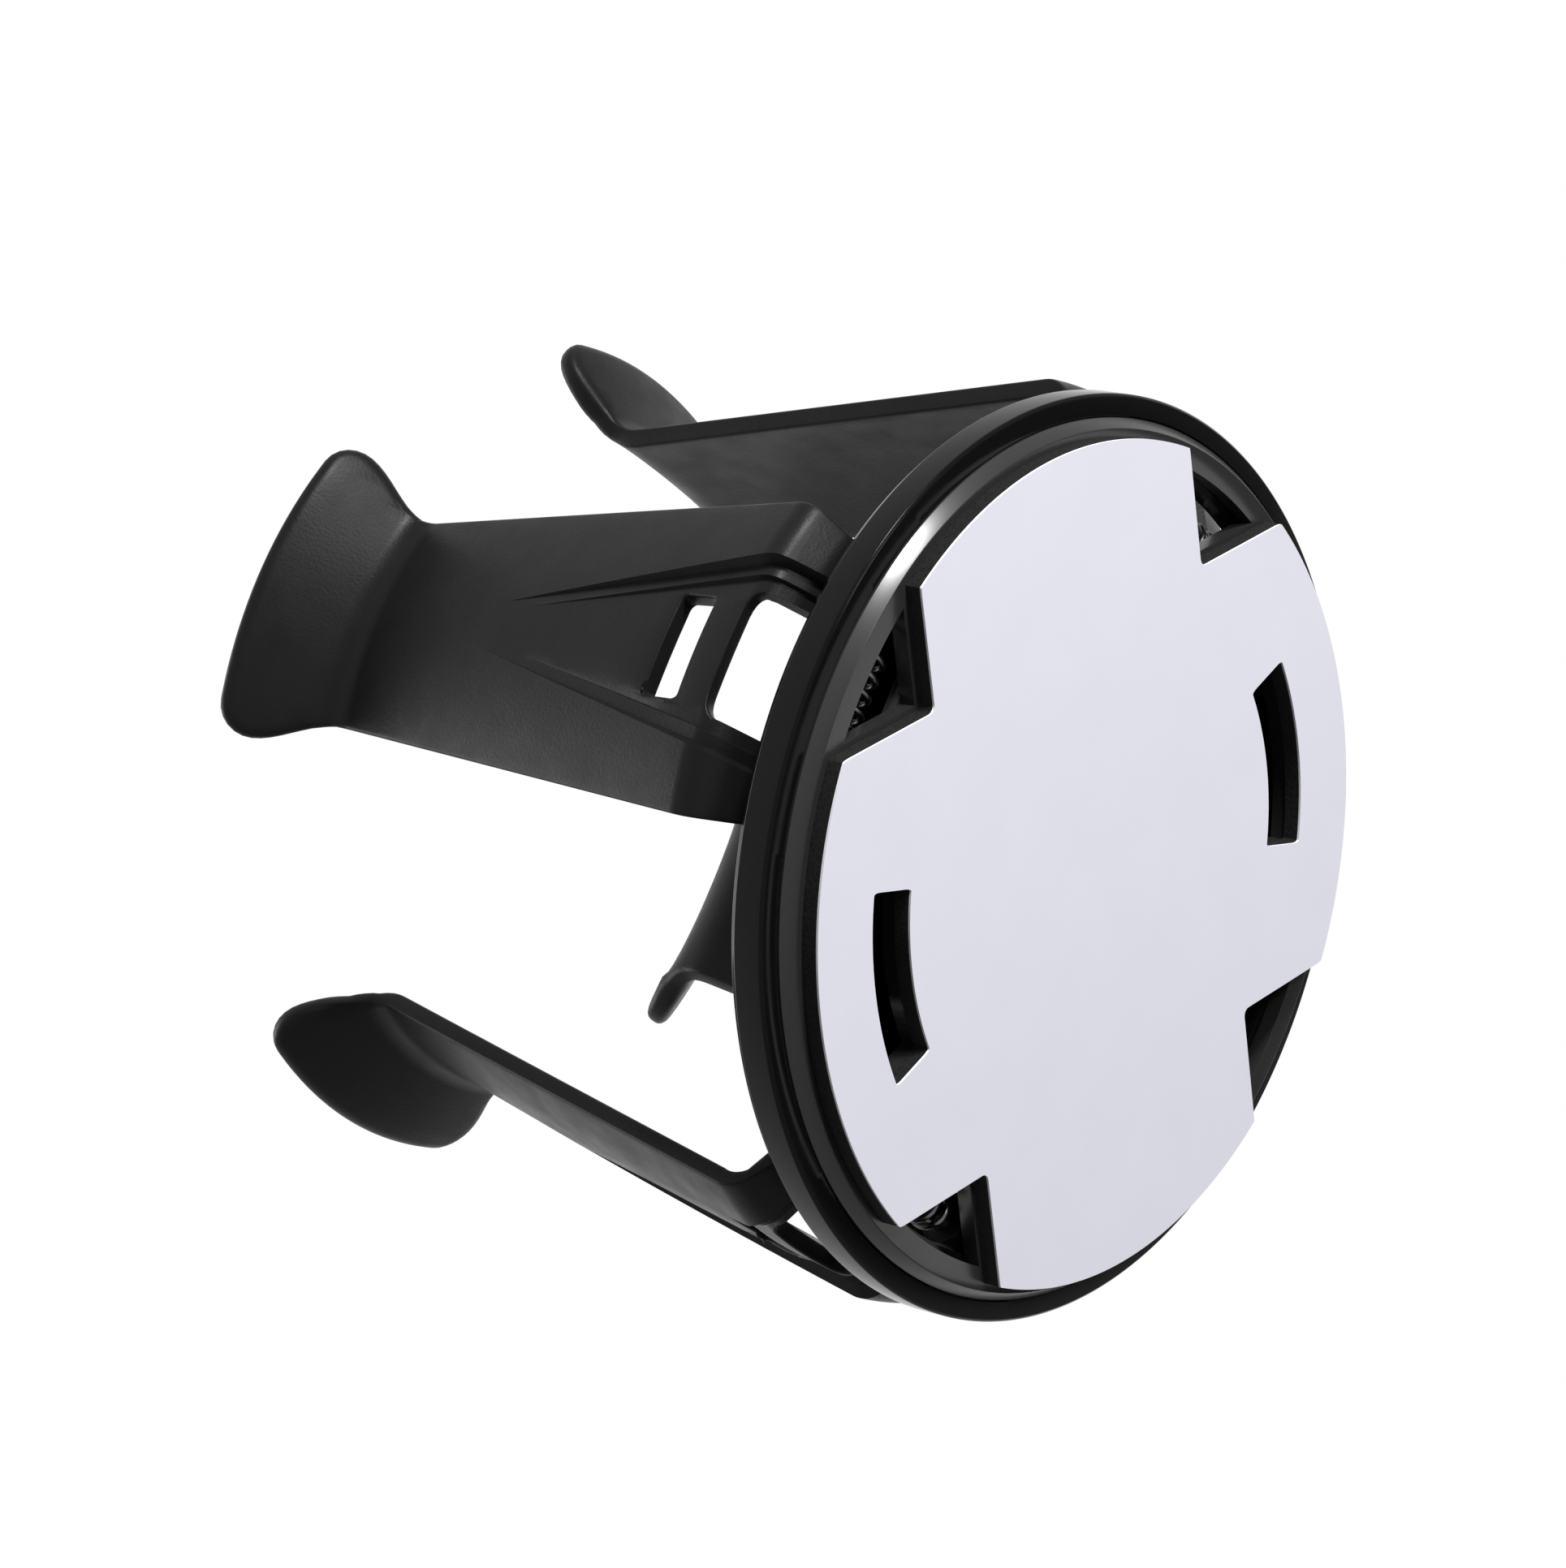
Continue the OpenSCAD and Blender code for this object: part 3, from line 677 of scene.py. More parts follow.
def pocket_shelf(base):
    """A ring along the pockets' outer walls, which closes the view through the notches"""
    floor = COVER_HIGH.z
    shelf = disc(base.shelf_outer, floor + SHELF_LIFT, floor + ROOM_WALL)
    return cut(shelf, disc(base.shelf_inner, 0, HOUSING_HIGH.z))


class CUPHOLDER_OT_upper_housing(bpy.types.Operator):
    """Spin the housing and cut its room, pockets, pin grooves and mat recess"""
    bl_idname = "cup_holder.upper_housing"
    bl_label = "Upper Housing"

    def execute(self, context):
        holder = context.scene.cup_holder
        base, hinge = holder.base, holder.hinge
        housing = spun(rounded(housing_section(base), base.edge_round * 2))
        cut(housing, housing_room(base, hinge))
        cut_round(housing, pocket_tool(hinge), pin_groove(hinge),
                  screw_bar(base, base.boss_hole, 0, base.ceiling - BOSS_ROOF))
        join(housing, pocket_shelf(base))
        cut(housing, disc(MAT_HIGH.x + MAT_PLAY, MAT_LOW.z, 2 * HOUSING_HIGH.z))
        material = gloss_black(holder.finish)
        finish(housing, "housing_moulding", "base", "gloss_black", material, "upper_housing")
        return {"FINISHED"}


def notch_tools(pad, low, high, grow=0.0):
    """Four blocks that leave square notches at the corners of the pad"""
    tools = []
    for a, b in ((1, 1), (-1, 1), (-1, -1), (1, -1)):
        near = Vector((a * (pad.notch_a + grow), b * (pad.notch_b + grow)))
        far = Vector((a * 2 * pad.radius, b * 2 * pad.radius))
        xs, ys = sorted((near.x, far.x)), sorted((near.y, far.y))
        notch = block((xs[0], ys[0], low), (xs[1], ys[1], high))
        tools.append(turned(notch, math.degrees(pad.notch_turn)))
    return tools


def slot_tools(pad, low, high, grow=0.0):
    """Two ring sectors for the twist slots"""
    tools = []
    for turn in (0, math.pi):
        ring = disc(pad.slot + pad.slot_width / 2 + grow, low, high)
        cut(ring, disc(pad.slot - pad.slot_width / 2 - grow, low - MM, high + MM))
        reach = 2 * pad.radius
        for side in (-1, 1):
            half = block((-reach, 0, low - MM), (reach, reach, high + MM))
            half.rotation_euler.z = side * pad.slot_span / 2 + (math.pi if side < 0 else 0)
            cut(ring, placed(half))
        tools.append(turned(ring, math.degrees(pad.slot_turn + turn)))
    return tools


class CUPHOLDER_OT_bottom_cover(bpy.types.Operator):
    """Spin the bottom cover and cut its windows, twist slots and screw holes"""
    bl_idname = "cup_holder.bottom_cover"
    bl_label = "Bottom Cover"

    def execute(self, context):
        holder = context.scene.cup_holder
        base, pad = holder.base, holder.pad
        low, high, radius = COVER_LOW.z, COVER_HIGH.z, COVER_HIGH.x
        section = [(0, low), (radius - BEVEL_SHARE * base.cover_bevel, low),
                   (radius, low + base.cover_bevel), (radius, high), (0, high)]
        cover = spun(rounded(section, base.edge_round))
        under, over = low - MM, high + MM
        for notch in notch_tools(pad, under, over, base.window_margin):
            cut(cover, clip(notch, disc(base.window_reach, under, over)))
        for slot in slot_tools(pad, under, over, base.slot_margin):
            cut(cover, slot)
        hole = screw_bar(base, base.cover_hole, under, over)
        bpy.ops.mesh.primitive_cone_add(vertices=SINK_STEPS, radius1=base.sink, radius2=base.cover_hole,
                                        depth=base.sink_depth,
                                        location=(base.screw_circle, 0, low + base.sink_depth / 2))
        cut_round(cover, hole, placed(bpy.context.object))
        gloss = bpy.data.materials["gloss_black"]
        finish(cover, "cover_moulding", "base", "gloss_black", gloss, "bottom_cover")
        return {"FINISHED"}


def pad_sheet(pad, low, high):
    """A round sheet with the four notches and the two slots cut out, and small rounds at its corners"""
    sheet = disc(pad.radius, low, high)
    for tool in notch_tools(pad, low - MM, high + MM) + slot_tools(pad, low - MM, high + MM):
        cut(sheet, tool)
    return round_uprights(sheet, pad.corner)


def round_uprights(sheet, radius):
    """Rounds the upright corners of a flat piece, and leaves Blender selecting points again"""
    activate(sheet)
    bpy.ops.object.mode_set(mode="EDIT")
    bpy.ops.mesh.select_mode(type="EDGE")
    bpy.ops.mesh.select_all(action="DESELECT")
    bpy.ops.object.mode_set(mode="OBJECT")
    mark_upright_corners(sheet)
    bpy.ops.object.mode_set(mode="EDIT")
    bpy.ops.mesh.bevel(offset=radius, segments=CORNER_SEGMENTS, affect="EDGES", clamp_overlap=False)
    bpy.ops.mesh.select_mode(type="VERT")
    bpy.ops.object.mode_set(mode="OBJECT")
    return sheet


def mark_upright_corners(sheet):
    """Selects the upright edges where the outline turns by more than a few degrees"""
    normals = {}
    for face in sheet.data.polygons:
        for key in face.edge_keys:
            normals.setdefault(key, []).append(face.normal.copy())
    for edge in sheet.data.edges:
        a, b = (sheet.data.vertices[v].co for v in edge.vertices)
        upright = abs(a.z - b.z) > STEEP * math.hypot(a.x - b.x, a.y - b.y)
        sides = normals[edge.key]
        edge.select = upright and len(sides) == 2 and sides[0].angle(sides[1]) > CORNER_ANGLE


class CUPHOLDER_OT_adhesive_pad(bpy.types.Operator):
    """Cut the foam pad and its release liner"""
    bl_idname = "cup_holder.adhesive_pad"
    bl_label = "Adhesive Pad"

    def execute(self, context):
        holder = context.scene.cup_holder
        foam = pad_sheet(holder.pad, FOAM_LOW.z, FOAM_HIGH.z)
        finish(foam, "foam_sheet", "base", "black_foam", black_foam(holder.finish), "foam_pad")
        liner = pad_sheet(holder.pad, LINER_LOW.z, LINER_HIGH.z)
        liner.data.materials.append(liner_film(holder.finish))
        liner.data.materials.append(cut_paper(holder.finish))
        for face in liner.data.polygons:
            face.material_index = 0 if abs(face.normal.z) > LEVEL else 1
        finish(liner, "liner_sheet", "base", "liner_film", None, "release_liner")
        return {"FINISHED"}


# Half widths of a ring groove, as shares of the grooves' pitch
GROOVE_TOP, GROOVE_FLOOR = 0.25, 0.2


class CUPHOLDER_OT_seat_mat(bpy.types.Operator):
    """Spin the rubber mat with its ring grooves"""
    bl_idname = "cup_holder.seat_mat"
    bl_label = "Seat Mat"

    def execute(self, context):
        holder = context.scene.cup_holder
        mat = holder.mat
        low, high, radius = MAT_LOW.z, MAT_HIGH.z, MAT_HIGH.x
        pitch = radius / (mat.rings + 1)
        section = [(0, high)]
        for i in range(1, mat.rings + 1):
            middle, floor = pitch * i, high - mat.groove
            section += [(middle - GROOVE_TOP * pitch, high), (middle - GROOVE_FLOOR * pitch, floor),
                        (middle + GROOVE_FLOOR * pitch, floor), (middle + GROOVE_TOP * pitch, high)]
        section += [(radius, high), (radius, low), (0, low)]
        piece = spun(rounded(section, mat.edge / 2))
        finish(piece, "rubber_mat", "base", "black_rubber", black_rubber(holder.finish), "seat_mat")
        return {"FINISHED"}


# Arms

# Thickness of the flat plate that an arm is cut from; the bend gives it the arm's own thickness
FLAT = 3 * MM
# Corners of the arcs at the fold and neck, and of a lip corner
BEND_STEPS, LIP_STEPS = 8, 6
# Widest spacing of the crosscuts that let the plate bend, across and along it
WIDE_STEP, LONG_STEP = 1.2 * MM, 2.5 * MM
WIDE_HALF, FIRST_CUT = 15 * MM, 0.5 * MM
# Run above the neck's bend over which the wall's edges regain their full thickness
THICKENING = 3 * MM
# The foot's curved width is about this much longer than the straight one
ARC_GAIN = 1.02
EAR_SLOPE = 0.8 * MM
# Widening of the recess's sides, as a share of their height
RECESS_SLOPE = 0.35
WINDOW_FOOT = -4 * MM
# Where the rims start to grow rounder, before the neck, and the run over which they do
RIM_GROWTH_LEAD, RIM_GROWTH = 2 * MM, 5 * MM
RIM_SEGMENTS = 4


def unit(v):
    return v.normalized()


def left(v):
    return Vector((-v.y, v.x))


def meet(p, d, q, e):
    """Where the line through p along d crosses the line through q along e"""
    return p + d * (q - p).cross(e) / d.cross(e)


class ArmForm:
    """The side view of an arm, with each place on its outer side paired with one on its inner side"""

    def __init__(self, arm):
        hinge = Vector((HINGE.x, HINGE.z))
        fold = Vector((arm.fold_radius, arm.fold_height))
        neck = Vector((arm.neck_radius, arm.neck_height))
        tip = neck + Vector((arm.lip_out, arm.lip_up))
        foot, plate, lip = unit(fold - hinge), unit(neck - fold), unit(tip - neck)
        foot_end = hinge + left(foot) * arm.wall
        tip_end = tip + left(lip) * arm.lip_wall
        neck_in = neck + left(plate) * arm.neck_wall
        plate_in = unit(neck_in - fold - left(plate) * arm.wall)
        lip_in = unit(tip_end - neck - left(lip) * arm.neck_wall)
        inner_fold = meet(foot_end, foot, neck_in, plate_in)
        inner_neck = meet(neck_in, plate_in, tip_end, lip_in)
        self.arm = arm
        self.outer = (rounded((hinge, fold, neck), arm.fold_round, BEND_STEPS)[:-1]
                      + rounded((fold, neck, tip), arm.neck_round, BEND_STEPS)[1:])
        inner_round = arm.neck_round + arm.neck_wall
        self.inner = (rounded((foot_end, inner_fold, inner_neck), arm.fold_round / 2, BEND_STEPS)[:-1]
                      + rounded((inner_fold, inner_neck, tip_end), inner_round, BEND_STEPS)[1:])
        self.reach = [0.0]
        for here, there in zip(self.outer, self.outer[1:]):
            self.reach.append(self.reach[-1] + (there - here).length)
        self.fold_at = self.reach[1 + BEND_STEPS // 2]
        self.neck_at = self.reach[2 + BEND_STEPS + BEND_STEPS // 2]
        self.total = self.reach[-1]
        self.edge_angle = math.asin(arm.fold_half / fold.x)
        self.neck_angle = math.asin(arm.neck_half / neck.x)
        self.lip_angle = math.asin(arm.lip_half / tip.x)

    def pair(self, along):
        """The outer and inner points at a distance from the hinge"""
        i = max(0, min(len(self.reach) - 2, sum(r < along for r in self.reach) - 1))
        share = (along - self.reach[i]) / (self.reach[i + 1] - self.reach[i])
        return (self.outer[i] + (self.outer[i + 1] - self.outer[i]) * share,
                self.inner[i] + (self.inner[i + 1] - self.inner[i]) * share)

    def above_fold(self, height):
        """The distance from the hinge, round the fold, of a place at a height above the fold's corner"""
        fold = Vector((self.arm.fold_radius, self.arm.fold_height))
        wall = Vector((self.arm.neck_radius, self.arm.neck_height)) - fold
        round_end = 1 + BEND_STEPS
        return self.reach[round_end] + height * wall.length / wall.y - (self.outer[round_end] - fold).length

    def half(self, along):
        """Half of the width at a distance from the hinge, round the curve"""
        radius = self.pair(along)[0].x
        if along <= self.fold_at:
            return radius * self.edge_angle
        if along <= self.neck_at:
            share = (along - self.fold_at) / (self.neck_at - self.fold_at)
            return radius * (self.edge_angle + (self.neck_angle - self.edge_angle) * share)
        x = min(1, (along - self.neck_at) / (self.total - self.arm.lip_round - self.neck_at))
        # Halfway between a smooth step and a quarter of a sine wave
        flare = (x * x * (3 - 2 * x) + math.sin(x * math.pi / 2)) / 2
        past = along - (self.total - self.arm.lip_round)
        corner = self.arm.lip_round - math.sqrt(max(0, self.arm.lip_round ** 2 - max(0, past) ** 2))
        return radius * (self.neck_angle + (self.lip_angle - self.neck_angle) * flare) - corner

    def thin(self, along):
        """Thickness at the edges as a share of that in the middle"""
        arm = self.arm
        places = ((arm.ear / 2, 1), (self.reach[1], arm.thin_foot),
                  (self.reach[1 + BEND_STEPS], arm.thin_edge), (self.neck_at, arm.thin_edge),
                  (self.neck_at + THICKENING, 1))
        if along <= places[0][0]:
            return 1
        for (low, low_share), (high, high_share) in zip(places, places[1:]):
            if along <= high:
                return low_share + (high_share - low_share) * (along - low) / (high - low)
        return 1

    def bend(self, flat):
        """Takes a point of the flat plate to its place on the arm"""
        outer, inner = self.pair(flat.y)
        turn = flat.x / outer.x
        edge = min(1, abs(turn) / self.edge_angle)
        depth = flat.z / FLAT * (1 - (1 - self.thin(flat.y)) * edge ** 2)
        place = outer + (inner - outer) * depth
        return Vector((place.x * math.cos(turn), place.x * math.sin(turn), place.y))


def plate(outline, low, high):
    """A flat plate with the outline of the given points"""
    draw_line([Vector((p[0], p[1], low)) for p in outline])
    bpy.ops.mesh.edge_face_add()
    bpy.ops.mesh.extrude_region_move(TRANSFORM_OT_translate={"value": (0, 0, high - low)})
    return edited()


def both_sides(points):
    """An outline that is the same on both sides of the middle"""
    return list(points) + [(-x, y) for x, y in reversed(points)]


def arm_blank(form):
    """The arm's outline as a flat plate"""
    arm = form.arm
    foot = arm.foot_half * ARC_GAIN
    start, corner_from = form.reach[-2], form.total - arm.lip_round
    places = [arm.ear, *form.reach[1:-1]]
    places += [start + (corner_from - start) * i / LIP_STEPS for i in range(1, LIP_STEPS + 1)]
    quarter = math.pi / 2 / LIP_STEPS
    places += [corner_from + arm.lip_round * math.sin(quarter * i) for i in range(1, LIP_STEPS + 1)]
    points = [(foot, 0), (foot, arm.ear - EAR_SLOPE)] + [(form.half(along), along) for along in places]
    return plate(both_sides(points), 0, FLAT)


def recess_tool(form, inset, deeper, shorter):
    """A wedge that is deepest at the fold, narrows upwards and has sloping sides"""
    arm = form.arm
    top = form.above_fold(arm.recess_up - shorter)
    half, end = arm.recess_half - inset, arm.recess_end - inset / 2
    tool = plate(both_sides([(half, -MM), (half, form.fold_at), (end, top)]), -MM, MM)
    for vertex in tool.data.vertices:
        depth = 0 if vertex.co.y > form.fold_at + MM else arm.recess_depth + deeper
        if vertex.co.z > 0:
            vertex.co.z = depth
        else:
            vertex.co.x += math.copysign(RECESS_SLOPE * (depth + MM), vertex.co.x)
    return tool


def opening_tool(half, low, high, radius):
    """A block with round corners"""
    return round_uprights(block((-half, low, -MM), (half, high, FLAT + MM)), radius)


def weigh_rims(piece, form):
    """Marks the rims of the outline and of the openings, with the lip's rims rounded most"""
    mesh = piece.data
    sides = {}
    for face in mesh.polygons:
        for key in face.edge_keys:
            sides.setdefault(key, []).append(abs(face.normal.z))
    weights = mesh.attributes.new("bevel_weight_edge", "FLOAT", "EDGE")
    for edge in mesh.edges:
        a, b = (mesh.vertices[v].co for v in edge.vertices)
        slopes = sides[edge.key]
        if len(slopes) == 2 and min(slopes) < UPRIGHT and max(slopes) > LEVEL and min(a.y, b.y) > MM:
            past = (a.y + b.y) / 2 - form.neck_at + RIM_GROWTH_LEAD
            rise = max(0, min(1, past / RIM_GROWTH))
            small = form.arm.edge_round / form.arm.lip_edge
            weights.data[edge.index].value = small + (1 - small) * rise


def crosscut(piece, axis, places):
    """Cuts a piece's faces along planes square to an axis"""
    activate(piece)
    bpy.ops.object.mode_set(mode="EDIT")
    for place in places:
        bpy.ops.mesh.select_all(action="SELECT")
        bpy.ops.mesh.bisect(plane_co=axis * place, plane_no=axis)
    bpy.ops.object.mode_set(mode="OBJECT")


def steps_between(low, high, step):
    """Even places from one value up to just before another, at most about a step apart"""
    count = max(1, round((high - low) / step))
    return [low + (high - low) * i / count for i in range(count)]


def arm_plate(form):
    """The flat arm with its openings, recess and rounded rims, ready to be bent"""
    arm = form.arm
    piece = arm_blank(form)
    cut(piece, recess_tool(form, 0, 0, 0))
    cut(piece, recess_tool(form, arm.step_in, arm.step_depth, arm.step_short))
    cut(piece, opening_tool(arm.window_half, WINDOW_FOOT, form.above_fold(arm.window_up), arm.window_round))
    cut(piece, opening_tool(arm.slot_half, form.above_fold(arm.slot_low), form.above_fold(arm.slot_high),
                            arm.slot_round))
    weigh_rims(piece, form)
    modify(piece, "BEVEL", width=arm.lip_edge, segments=RIM_SEGMENTS, limit_method="WEIGHT",
           use_clamp_overlap=False)
    alongs = []
    for low, high in zip(form.reach, form.reach[1:]):
        alongs += steps_between(low, high, LONG_STEP)
    crosscut(piece, Vector((0, 1, 0)), [FIRST_CUT] + alongs[1:])
    crosscut(piece, Vector((1, 0, 0)), steps_between(-WIDE_HALF, WIDE_HALF, WIDE_STEP)[1:])
    return piece


def bent(piece, form):
    """Bends the flat plate to the arm's curve"""
    for vertex in piece.data.vertices:
        vertex.co = form.bend(vertex.co)
    activate(piece)
    bpy.ops.object.mode_set(mode="EDIT")
    return edited(merge=True)


def hinge_lugs(piece, arm, hinge):
    """Adds the two lugs, and drills them for the pin and for the spring's hook"""
    for side in (-1, 1):
        near, far = side * arm.window_half, side * arm.foot_half
        lug = rod(arm.lug, (HINGE.x, near, HINGE.z), (HINGE.x, far, HINGE.z))
        join(piece, soften(lug, hinge.end_round))
    end = arm.foot_half + MM
    cut(piece, rod(PIN_RADIUS + hinge.pin_play, (HINGE.x, -end, HINGE.z), (HINGE.x, end, HINGE.z)))
    hook, depth = HINGE.z + hinge.coil, arm.window_half + hinge.hook_depth
    return cut(piece, rod(hinge.hook_hole, (HINGE.x, 0, hook), (HINGE.x, depth, hook), vertices=HOOK_STEPS))


class CUPHOLDER_OT_arms(bpy.types.Operator):
    """Cut the arms as flat plates, bend them to their curve and add the hinge lugs"""
    bl_idname = "cup_holder.arms"
    bl_label = "Arms"

    def execute(self, context):
        holder = context.scene.cup_holder
        material = satin_black(holder.finish)
        form = ArmForm(holder.arm)
        first = hinge_lugs(bent(arm_plate(form), form), holder.arm, holder.hinge)
        finish_four(first, "arm_moulding", "matte_black", material, "arm", [f"arm_{arm}" for arm in ARMS])
        return {"FINISHED"}


# Hinges

COIL_STEPS = 20
PIN_STEPS = 48
WIRE_ROUND = 4
# The spring's ends: how far the leg starts before the coil, and the hook stops before the CAD's end
LEG_LEAD, HOOK_PLAY = 0.05 * MM, 0.02 * MM


def spring(hinge):
    """A coil on the pin, with a leg under the platform and a hook into the arm's lug"""
    start = -hinge.coil_length / 2
    steps = hinge.turns * COIL_STEPS
    path = [Vector((HINGE.x - hinge.leg, start - LEG_LEAD, SPRING_HIGH.z - hinge.wire))]
    for i in range(steps + 1):
        a = math.pi / 2 + 2 * math.pi * i / COIL_STEPS
        path.append(Vector((HINGE.x + hinge.coil * math.cos(a), start + hinge.coil_length * i / steps,
                            HINGE.z + hinge.coil * math.sin(a))))
    path.append(Vector((HINGE.x, SPRING_HIGH.y - HOOK_PLAY, HINGE.z + hinge.coil)))
    wire = bpy.data.curves.new("spring_wire", "CURVE")
    wire.dimensions = "3D"
    wire.bevel_depth = hinge.wire
    wire.bevel_resolution = WIRE_ROUND
    wire.use_fill_caps = True
    spline = wire.splines.new("POLY")
    spline.points.add(len(path) - 1)
    for point, place in zip(spline.points, path):
        point.co = (*place, 1)
    activate(linked("spring_wire", wire))
    bpy.ops.object.convert(target="MESH")
    return bpy.context.object


def keeper(base):
    """A U-shaped clip whose two posts close the pin seats from below"""
    return soften(cad_copy("pin_keeper_1"), base.edge_round)


def pin(hinge):
    """A steel pin with rounded ends"""
    low, high = (HINGE.x, PIN_LOW.y, HINGE.z), (HINGE.x, PIN_HIGH.y, HINGE.z)
    piece = rod(PIN_RADIUS, low, high, vertices=PIN_STEPS)
    return soften(piece, hinge.end_round, segments=3)


class CUPHOLDER_OT_hinges(bpy.types.Operator):
    """Model the pins, springs and keepers"""
    bl_idname = "cup_holder.hinges"
    bl_label = "Hinges"

    def execute(self, context):
        holder = context.scene.cup_holder
        steel = drawn_steel(holder.finish)
        gloss = bpy.data.materials["gloss_black"]
        kinds = (("pin_rod", pin(holder.hinge), steel, "pin_steel", "hinge_pin"),
                 ("spring_wire", spring(holder.hinge), steel, "spring_steel", "torsion_spring"),
                 ("keeper_clip", keeper(holder.base), gloss, "keeper_black", "pin_keeper"))
        for name, first, material, slot, node in kinds:
            finish_four(first, name, slot, material, node)
        return {"FINISHED"}


class CUPHOLDER_OT_case_screws(bpy.types.Operator):
    """Give the screws their plated finish"""
    bl_idname = "cup_holder.case_screws"
    bl_label = "Case Screws"

    def execute(self, context):
        zinc = plated_zinc(context.scene.cup_holder.finish)
        screws = frame["nodes"]["case_screws"]
        for slot in screws.material_slots:
            slot.material = zinc
        return {"FINISHED"}


# Stage

AIM = Vector((2.96, 0.83, 33.18)) * MM
SENSOR = 36
NEAR, FAR = 0.01, 20
# Each lamp's direction from the aim point, its distance and its size. The first two directions are
# right, up and back from the camera, and the third is the scene's own.
KEY_FROM, KEY_DISTANCE, KEY_SIZE = Vector((0.24, 0.81, 0.54)), 0.7, 0.1
FILL_FROM, FILL_DISTANCE, FILL_SIZE = Vector((0.54, 0.52, 0.67)), 0.8, 0.15
TOP_FROM, TOP_DISTANCE, TOP_SIZE = Vector((0.2, -0.3, 1)), 0.8, 0.5
FLOOR_GREY, FLOOR_DARK, FLOOR_LIGHT = (0.86, 0.86, 0.86), (0.85, 0.85, 0.85), (0.87, 0.87, 0.87)
FLOOR_SIDES, FLOOR_SPREAD = 96, 60
FLOOR_GAP, FLOOR_Z = 0.5 * MM, -0.05 * MM


def area_light(name, direction, distance, size, watts):
    """A square soft box that faces the aim point"""
    data = bpy.data.lights.new(name, "AREA")
    data.shape = "SQUARE"
    data.size = size
    data.energy = watts
    lamp = linked(name, data)
    direction = direction.normalized()
    lamp.location = AIM + direction * distance
    lamp.rotation_mode = "QUATERNION"
    lamp.rotation_quaternion = direction.to_track_quat("Z", "Y")


def studio_camera(studio):
    """The camera at the photograph's place, looking at the aim point"""
    level = math.cos(studio.elevation)
    back = Vector((level * math.cos(studio.azimuth), level * math.sin(studio.azimuth),
                   math.sin(studio.elevation)))
    data = bpy.data.cameras.new("studio_camera")
    data.sensor_fit = "HORIZONTAL"
    data.sensor_width = SENSOR
    data.lens = studio.lens
    data.clip_start, data.clip_end = NEAR, FAR
    camera = linked("studio_camera", data)
    camera.location = AIM + back * studio.distance
    camera.rotation_mode = "QUATERNION"
    camera.rotation_quaternion = (-back).to_track_quat("-Z", "Y") @ Quaternion((0, 0, 1), -studio.roll)
    bpy.context.scene.camera = camera
    return camera


def white_background(nodes, links, target, lit, white):
    """Shows the white shader to the camera and to mirrors, and the lit one to everything else"""
    path = nodes.new("ShaderNodeLightPath")
    either = nodes.new("ShaderNodeMath")
    either.operation = "MAXIMUM"
    links.new(path.outputs["Is Camera Ray"], either.inputs[0])
    links.new(path.outputs["Is Glossy Ray"], either.inputs[1])
    all_three = nodes.new("ShaderNodeMath")
    all_three.operation = "MAXIMUM"
    links.new(either.outputs[0], all_three.inputs[0])
    links.new(path.outputs["Is Transmission Ray"], all_three.inputs[1])
    mix = nodes.new("ShaderNodeMixShader")
    links.new(all_three.outputs[0], mix.inputs[0])
    links.new(lit, mix.inputs[1])
    links.new(white, mix.inputs[2])
    links.new(mix.outputs[0], target)


def white_world(studio):
    """A white world to the camera, which lights the object only faintly"""
    world = bpy.data.worlds.new("studio_world")
    world.use_nodes = True
    nodes, links = world.node_tree.nodes, world.node_tree.links
    lit = nodes["Background"]
    lit.inputs["Color"].default_value = (1, 1, 1, 1)
    lit.inputs["Strength"].default_value = studio.sky
    white = nodes.new("ShaderNodeBackground")
    white.inputs["Color"].default_value = (1, 1, 1, 1)
    white.inputs["Strength"].default_value = 1
    white_background(nodes, links, nodes["World Output"].inputs["Surface"], lit.outputs[0], white.outputs[0])
    bpy.context.scene.world = world


def floor_material(name, camera_only):
    """Pale from above, and clear from below and for light on its way, or for all but the camera"""
    material = new_material(name, FLOOR_GREY, roughness=0.7, specular=0.2)
    tint(material, noise(material, scale=8), FLOOR_DARK, FLOOR_LIGHT)
    nodes, links = material.node_tree.nodes, material.node_tree.links
    geometry = nodes.new("ShaderNodeNewGeometry")
    path = nodes.new("ShaderNodeLightPath")
    clear_for = nodes.new("ShaderNodeMath")
    clear_for.operation = "MAXIMUM"
    links.new(geometry.outputs["Backfacing"], clear_for.inputs[0])
    if camera_only:
        others = nodes.new("ShaderNodeMath")
        others.operation = "SUBTRACT"
        others.inputs[0].default_value = 1
        links.new(path.outputs["Is Camera Ray"], others.inputs[1])
        links.new(others.outputs[0], clear_for.inputs[1])
    else:
        links.new(path.outputs["Is Shadow Ray"], clear_for.inputs[1])
    clear = nodes.new("ShaderNodeBsdfTransparent")
    mix = nodes.new("ShaderNodeMixShader")
    links.new(clear_for.outputs[0], mix.inputs[0])
    links.new(nodes["Principled BSDF"].outputs[0], mix.inputs[1])
    links.new(clear.outputs[0], mix.inputs[2])
    links.new(mix.outputs[0], nodes["Material Output"].inputs["Surface"])
    return material


def floor_circle(pad, fill, editing):
    bpy.ops.mesh.primitive_circle_add(vertices=FLOOR_SIDES, radius=pad.radius + FLOOR_GAP, fill_type=fill,
                                      location=(0, 0, FLOOR_Z), enter_editmode=editing)


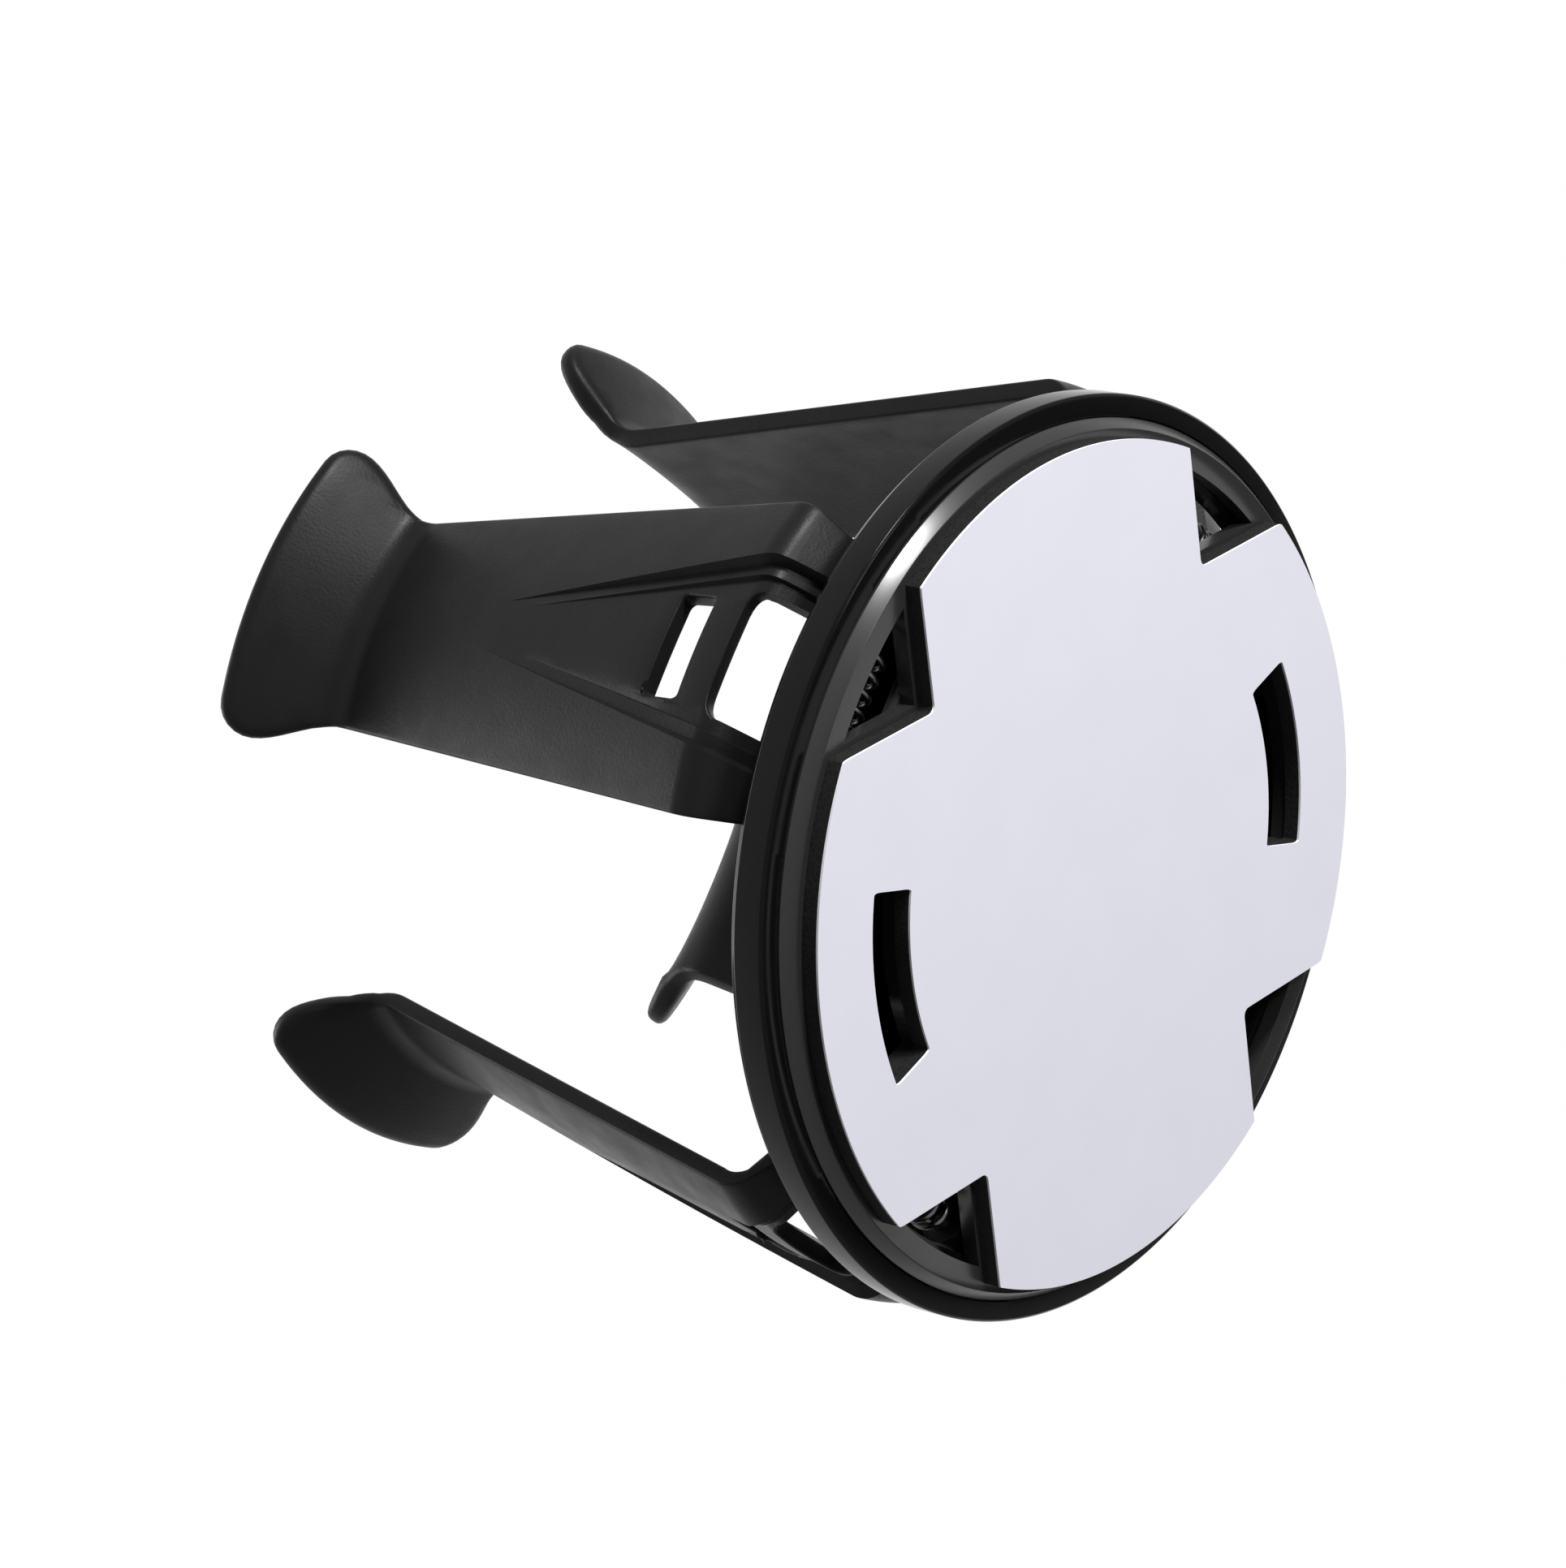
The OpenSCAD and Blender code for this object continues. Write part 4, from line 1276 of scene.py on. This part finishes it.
def studio_floor(pad):
    """A wide plane, open under the pad, with a disc in the opening that only a camera above sees"""
    bpy.ops.object.select_all(action="DESELECT")
    floor_circle(pad, fill="NOTHING", editing=True)
    bpy.ops.mesh.extrude_edges_move()
    bpy.ops.transform.resize(value=(FLOOR_SPREAD, FLOOR_SPREAD, 1), center_override=(0, 0, FLOOR_Z))
    floor = placed(edited())
    floor.name = "studio_floor"
    if floor.data.polygons[0].normal.z < 0:
        floor.data.flip_normals()
    floor.data.materials.append(floor_material("stage_floor", camera_only=False))
    floor_circle(pad, fill="NGON", editing=False)
    disc_in_opening = placed(bpy.context.object)
    disc_in_opening.name = "studio_floor_disc"
    disc_in_opening.data.materials.append(floor_material("stage_floor_disc", camera_only=True))


class CUPHOLDER_OT_stage(bpy.types.Operator):
    """Set up the floor, the white world, the lights and the camera"""
    bl_idname = "cup_holder.stage"
    bl_label = "Stage"

    def execute(self, context):
        holder = context.scene.cup_holder
        studio = holder.studio
        view = studio_camera(studio).rotation_quaternion
        area_light("key_light", view @ KEY_FROM, KEY_DISTANCE, KEY_SIZE, studio.key)
        area_light("fill_light", view @ FILL_FROM, FILL_DISTANCE, FILL_SIZE, studio.fill)
        area_light("top_light", TOP_FROM, TOP_DISTANCE, TOP_SIZE, studio.top)
        white_world(studio)
        studio_floor(holder.pad)
        context.scene.view_settings.view_transform = "Standard"
        return {"FINISHED"}


OPERATORS = (CUPHOLDER_OT_upper_housing, CUPHOLDER_OT_bottom_cover, CUPHOLDER_OT_adhesive_pad,
             CUPHOLDER_OT_seat_mat, CUPHOLDER_OT_arms, CUPHOLDER_OT_hinges, CUPHOLDER_OT_case_screws,
             CUPHOLDER_OT_stage)


class CUPHOLDER_PT_sidebar(bpy.types.Panel):
    """Lists the cup holder's operators and sizes"""
    bl_label = "Cup Holder"
    bl_idname = "CUPHOLDER_PT_sidebar"
    bl_space_type = "VIEW_3D"
    bl_region_type = "UI"
    bl_category = "Cup Holder"

    def draw(self, context):
        for operator in OPERATORS:
            self.layout.operator(operator.bl_idname)
        for group in CupHolderSettings.__annotations__:
            settings = getattr(context.scene.cup_holder, group)
            box = self.layout.box()
            for name in settings.__annotations__:
                box.prop(settings, name)


CLASSES = (BaseSizes, HingeSizes, ArmSizes, PadSizes, MatSizes, Finishes, Studio, CupHolderSettings,
           *OPERATORS, CUPHOLDER_PT_sidebar)


def register():
    for cls in CLASSES:
        bpy.utils.register_class(cls)
    bpy.types.Scene.cup_holder = PointerProperty(type=CupHolderSettings)


def unregister():
    del bpy.types.Scene.cup_holder
    for cls in reversed(CLASSES):
        bpy.utils.unregister_class(cls)


def main():
    register()
    bpy.ops.cup_holder.upper_housing()
    bpy.ops.cup_holder.bottom_cover()
    bpy.ops.cup_holder.adhesive_pad()
    bpy.ops.cup_holder.seat_mat()
    bpy.ops.cup_holder.arms()
    bpy.ops.cup_holder.hinges()
    bpy.ops.cup_holder.case_screws()
    bpy.ops.cup_holder.stage()


if __name__ == "__main__":
    main()
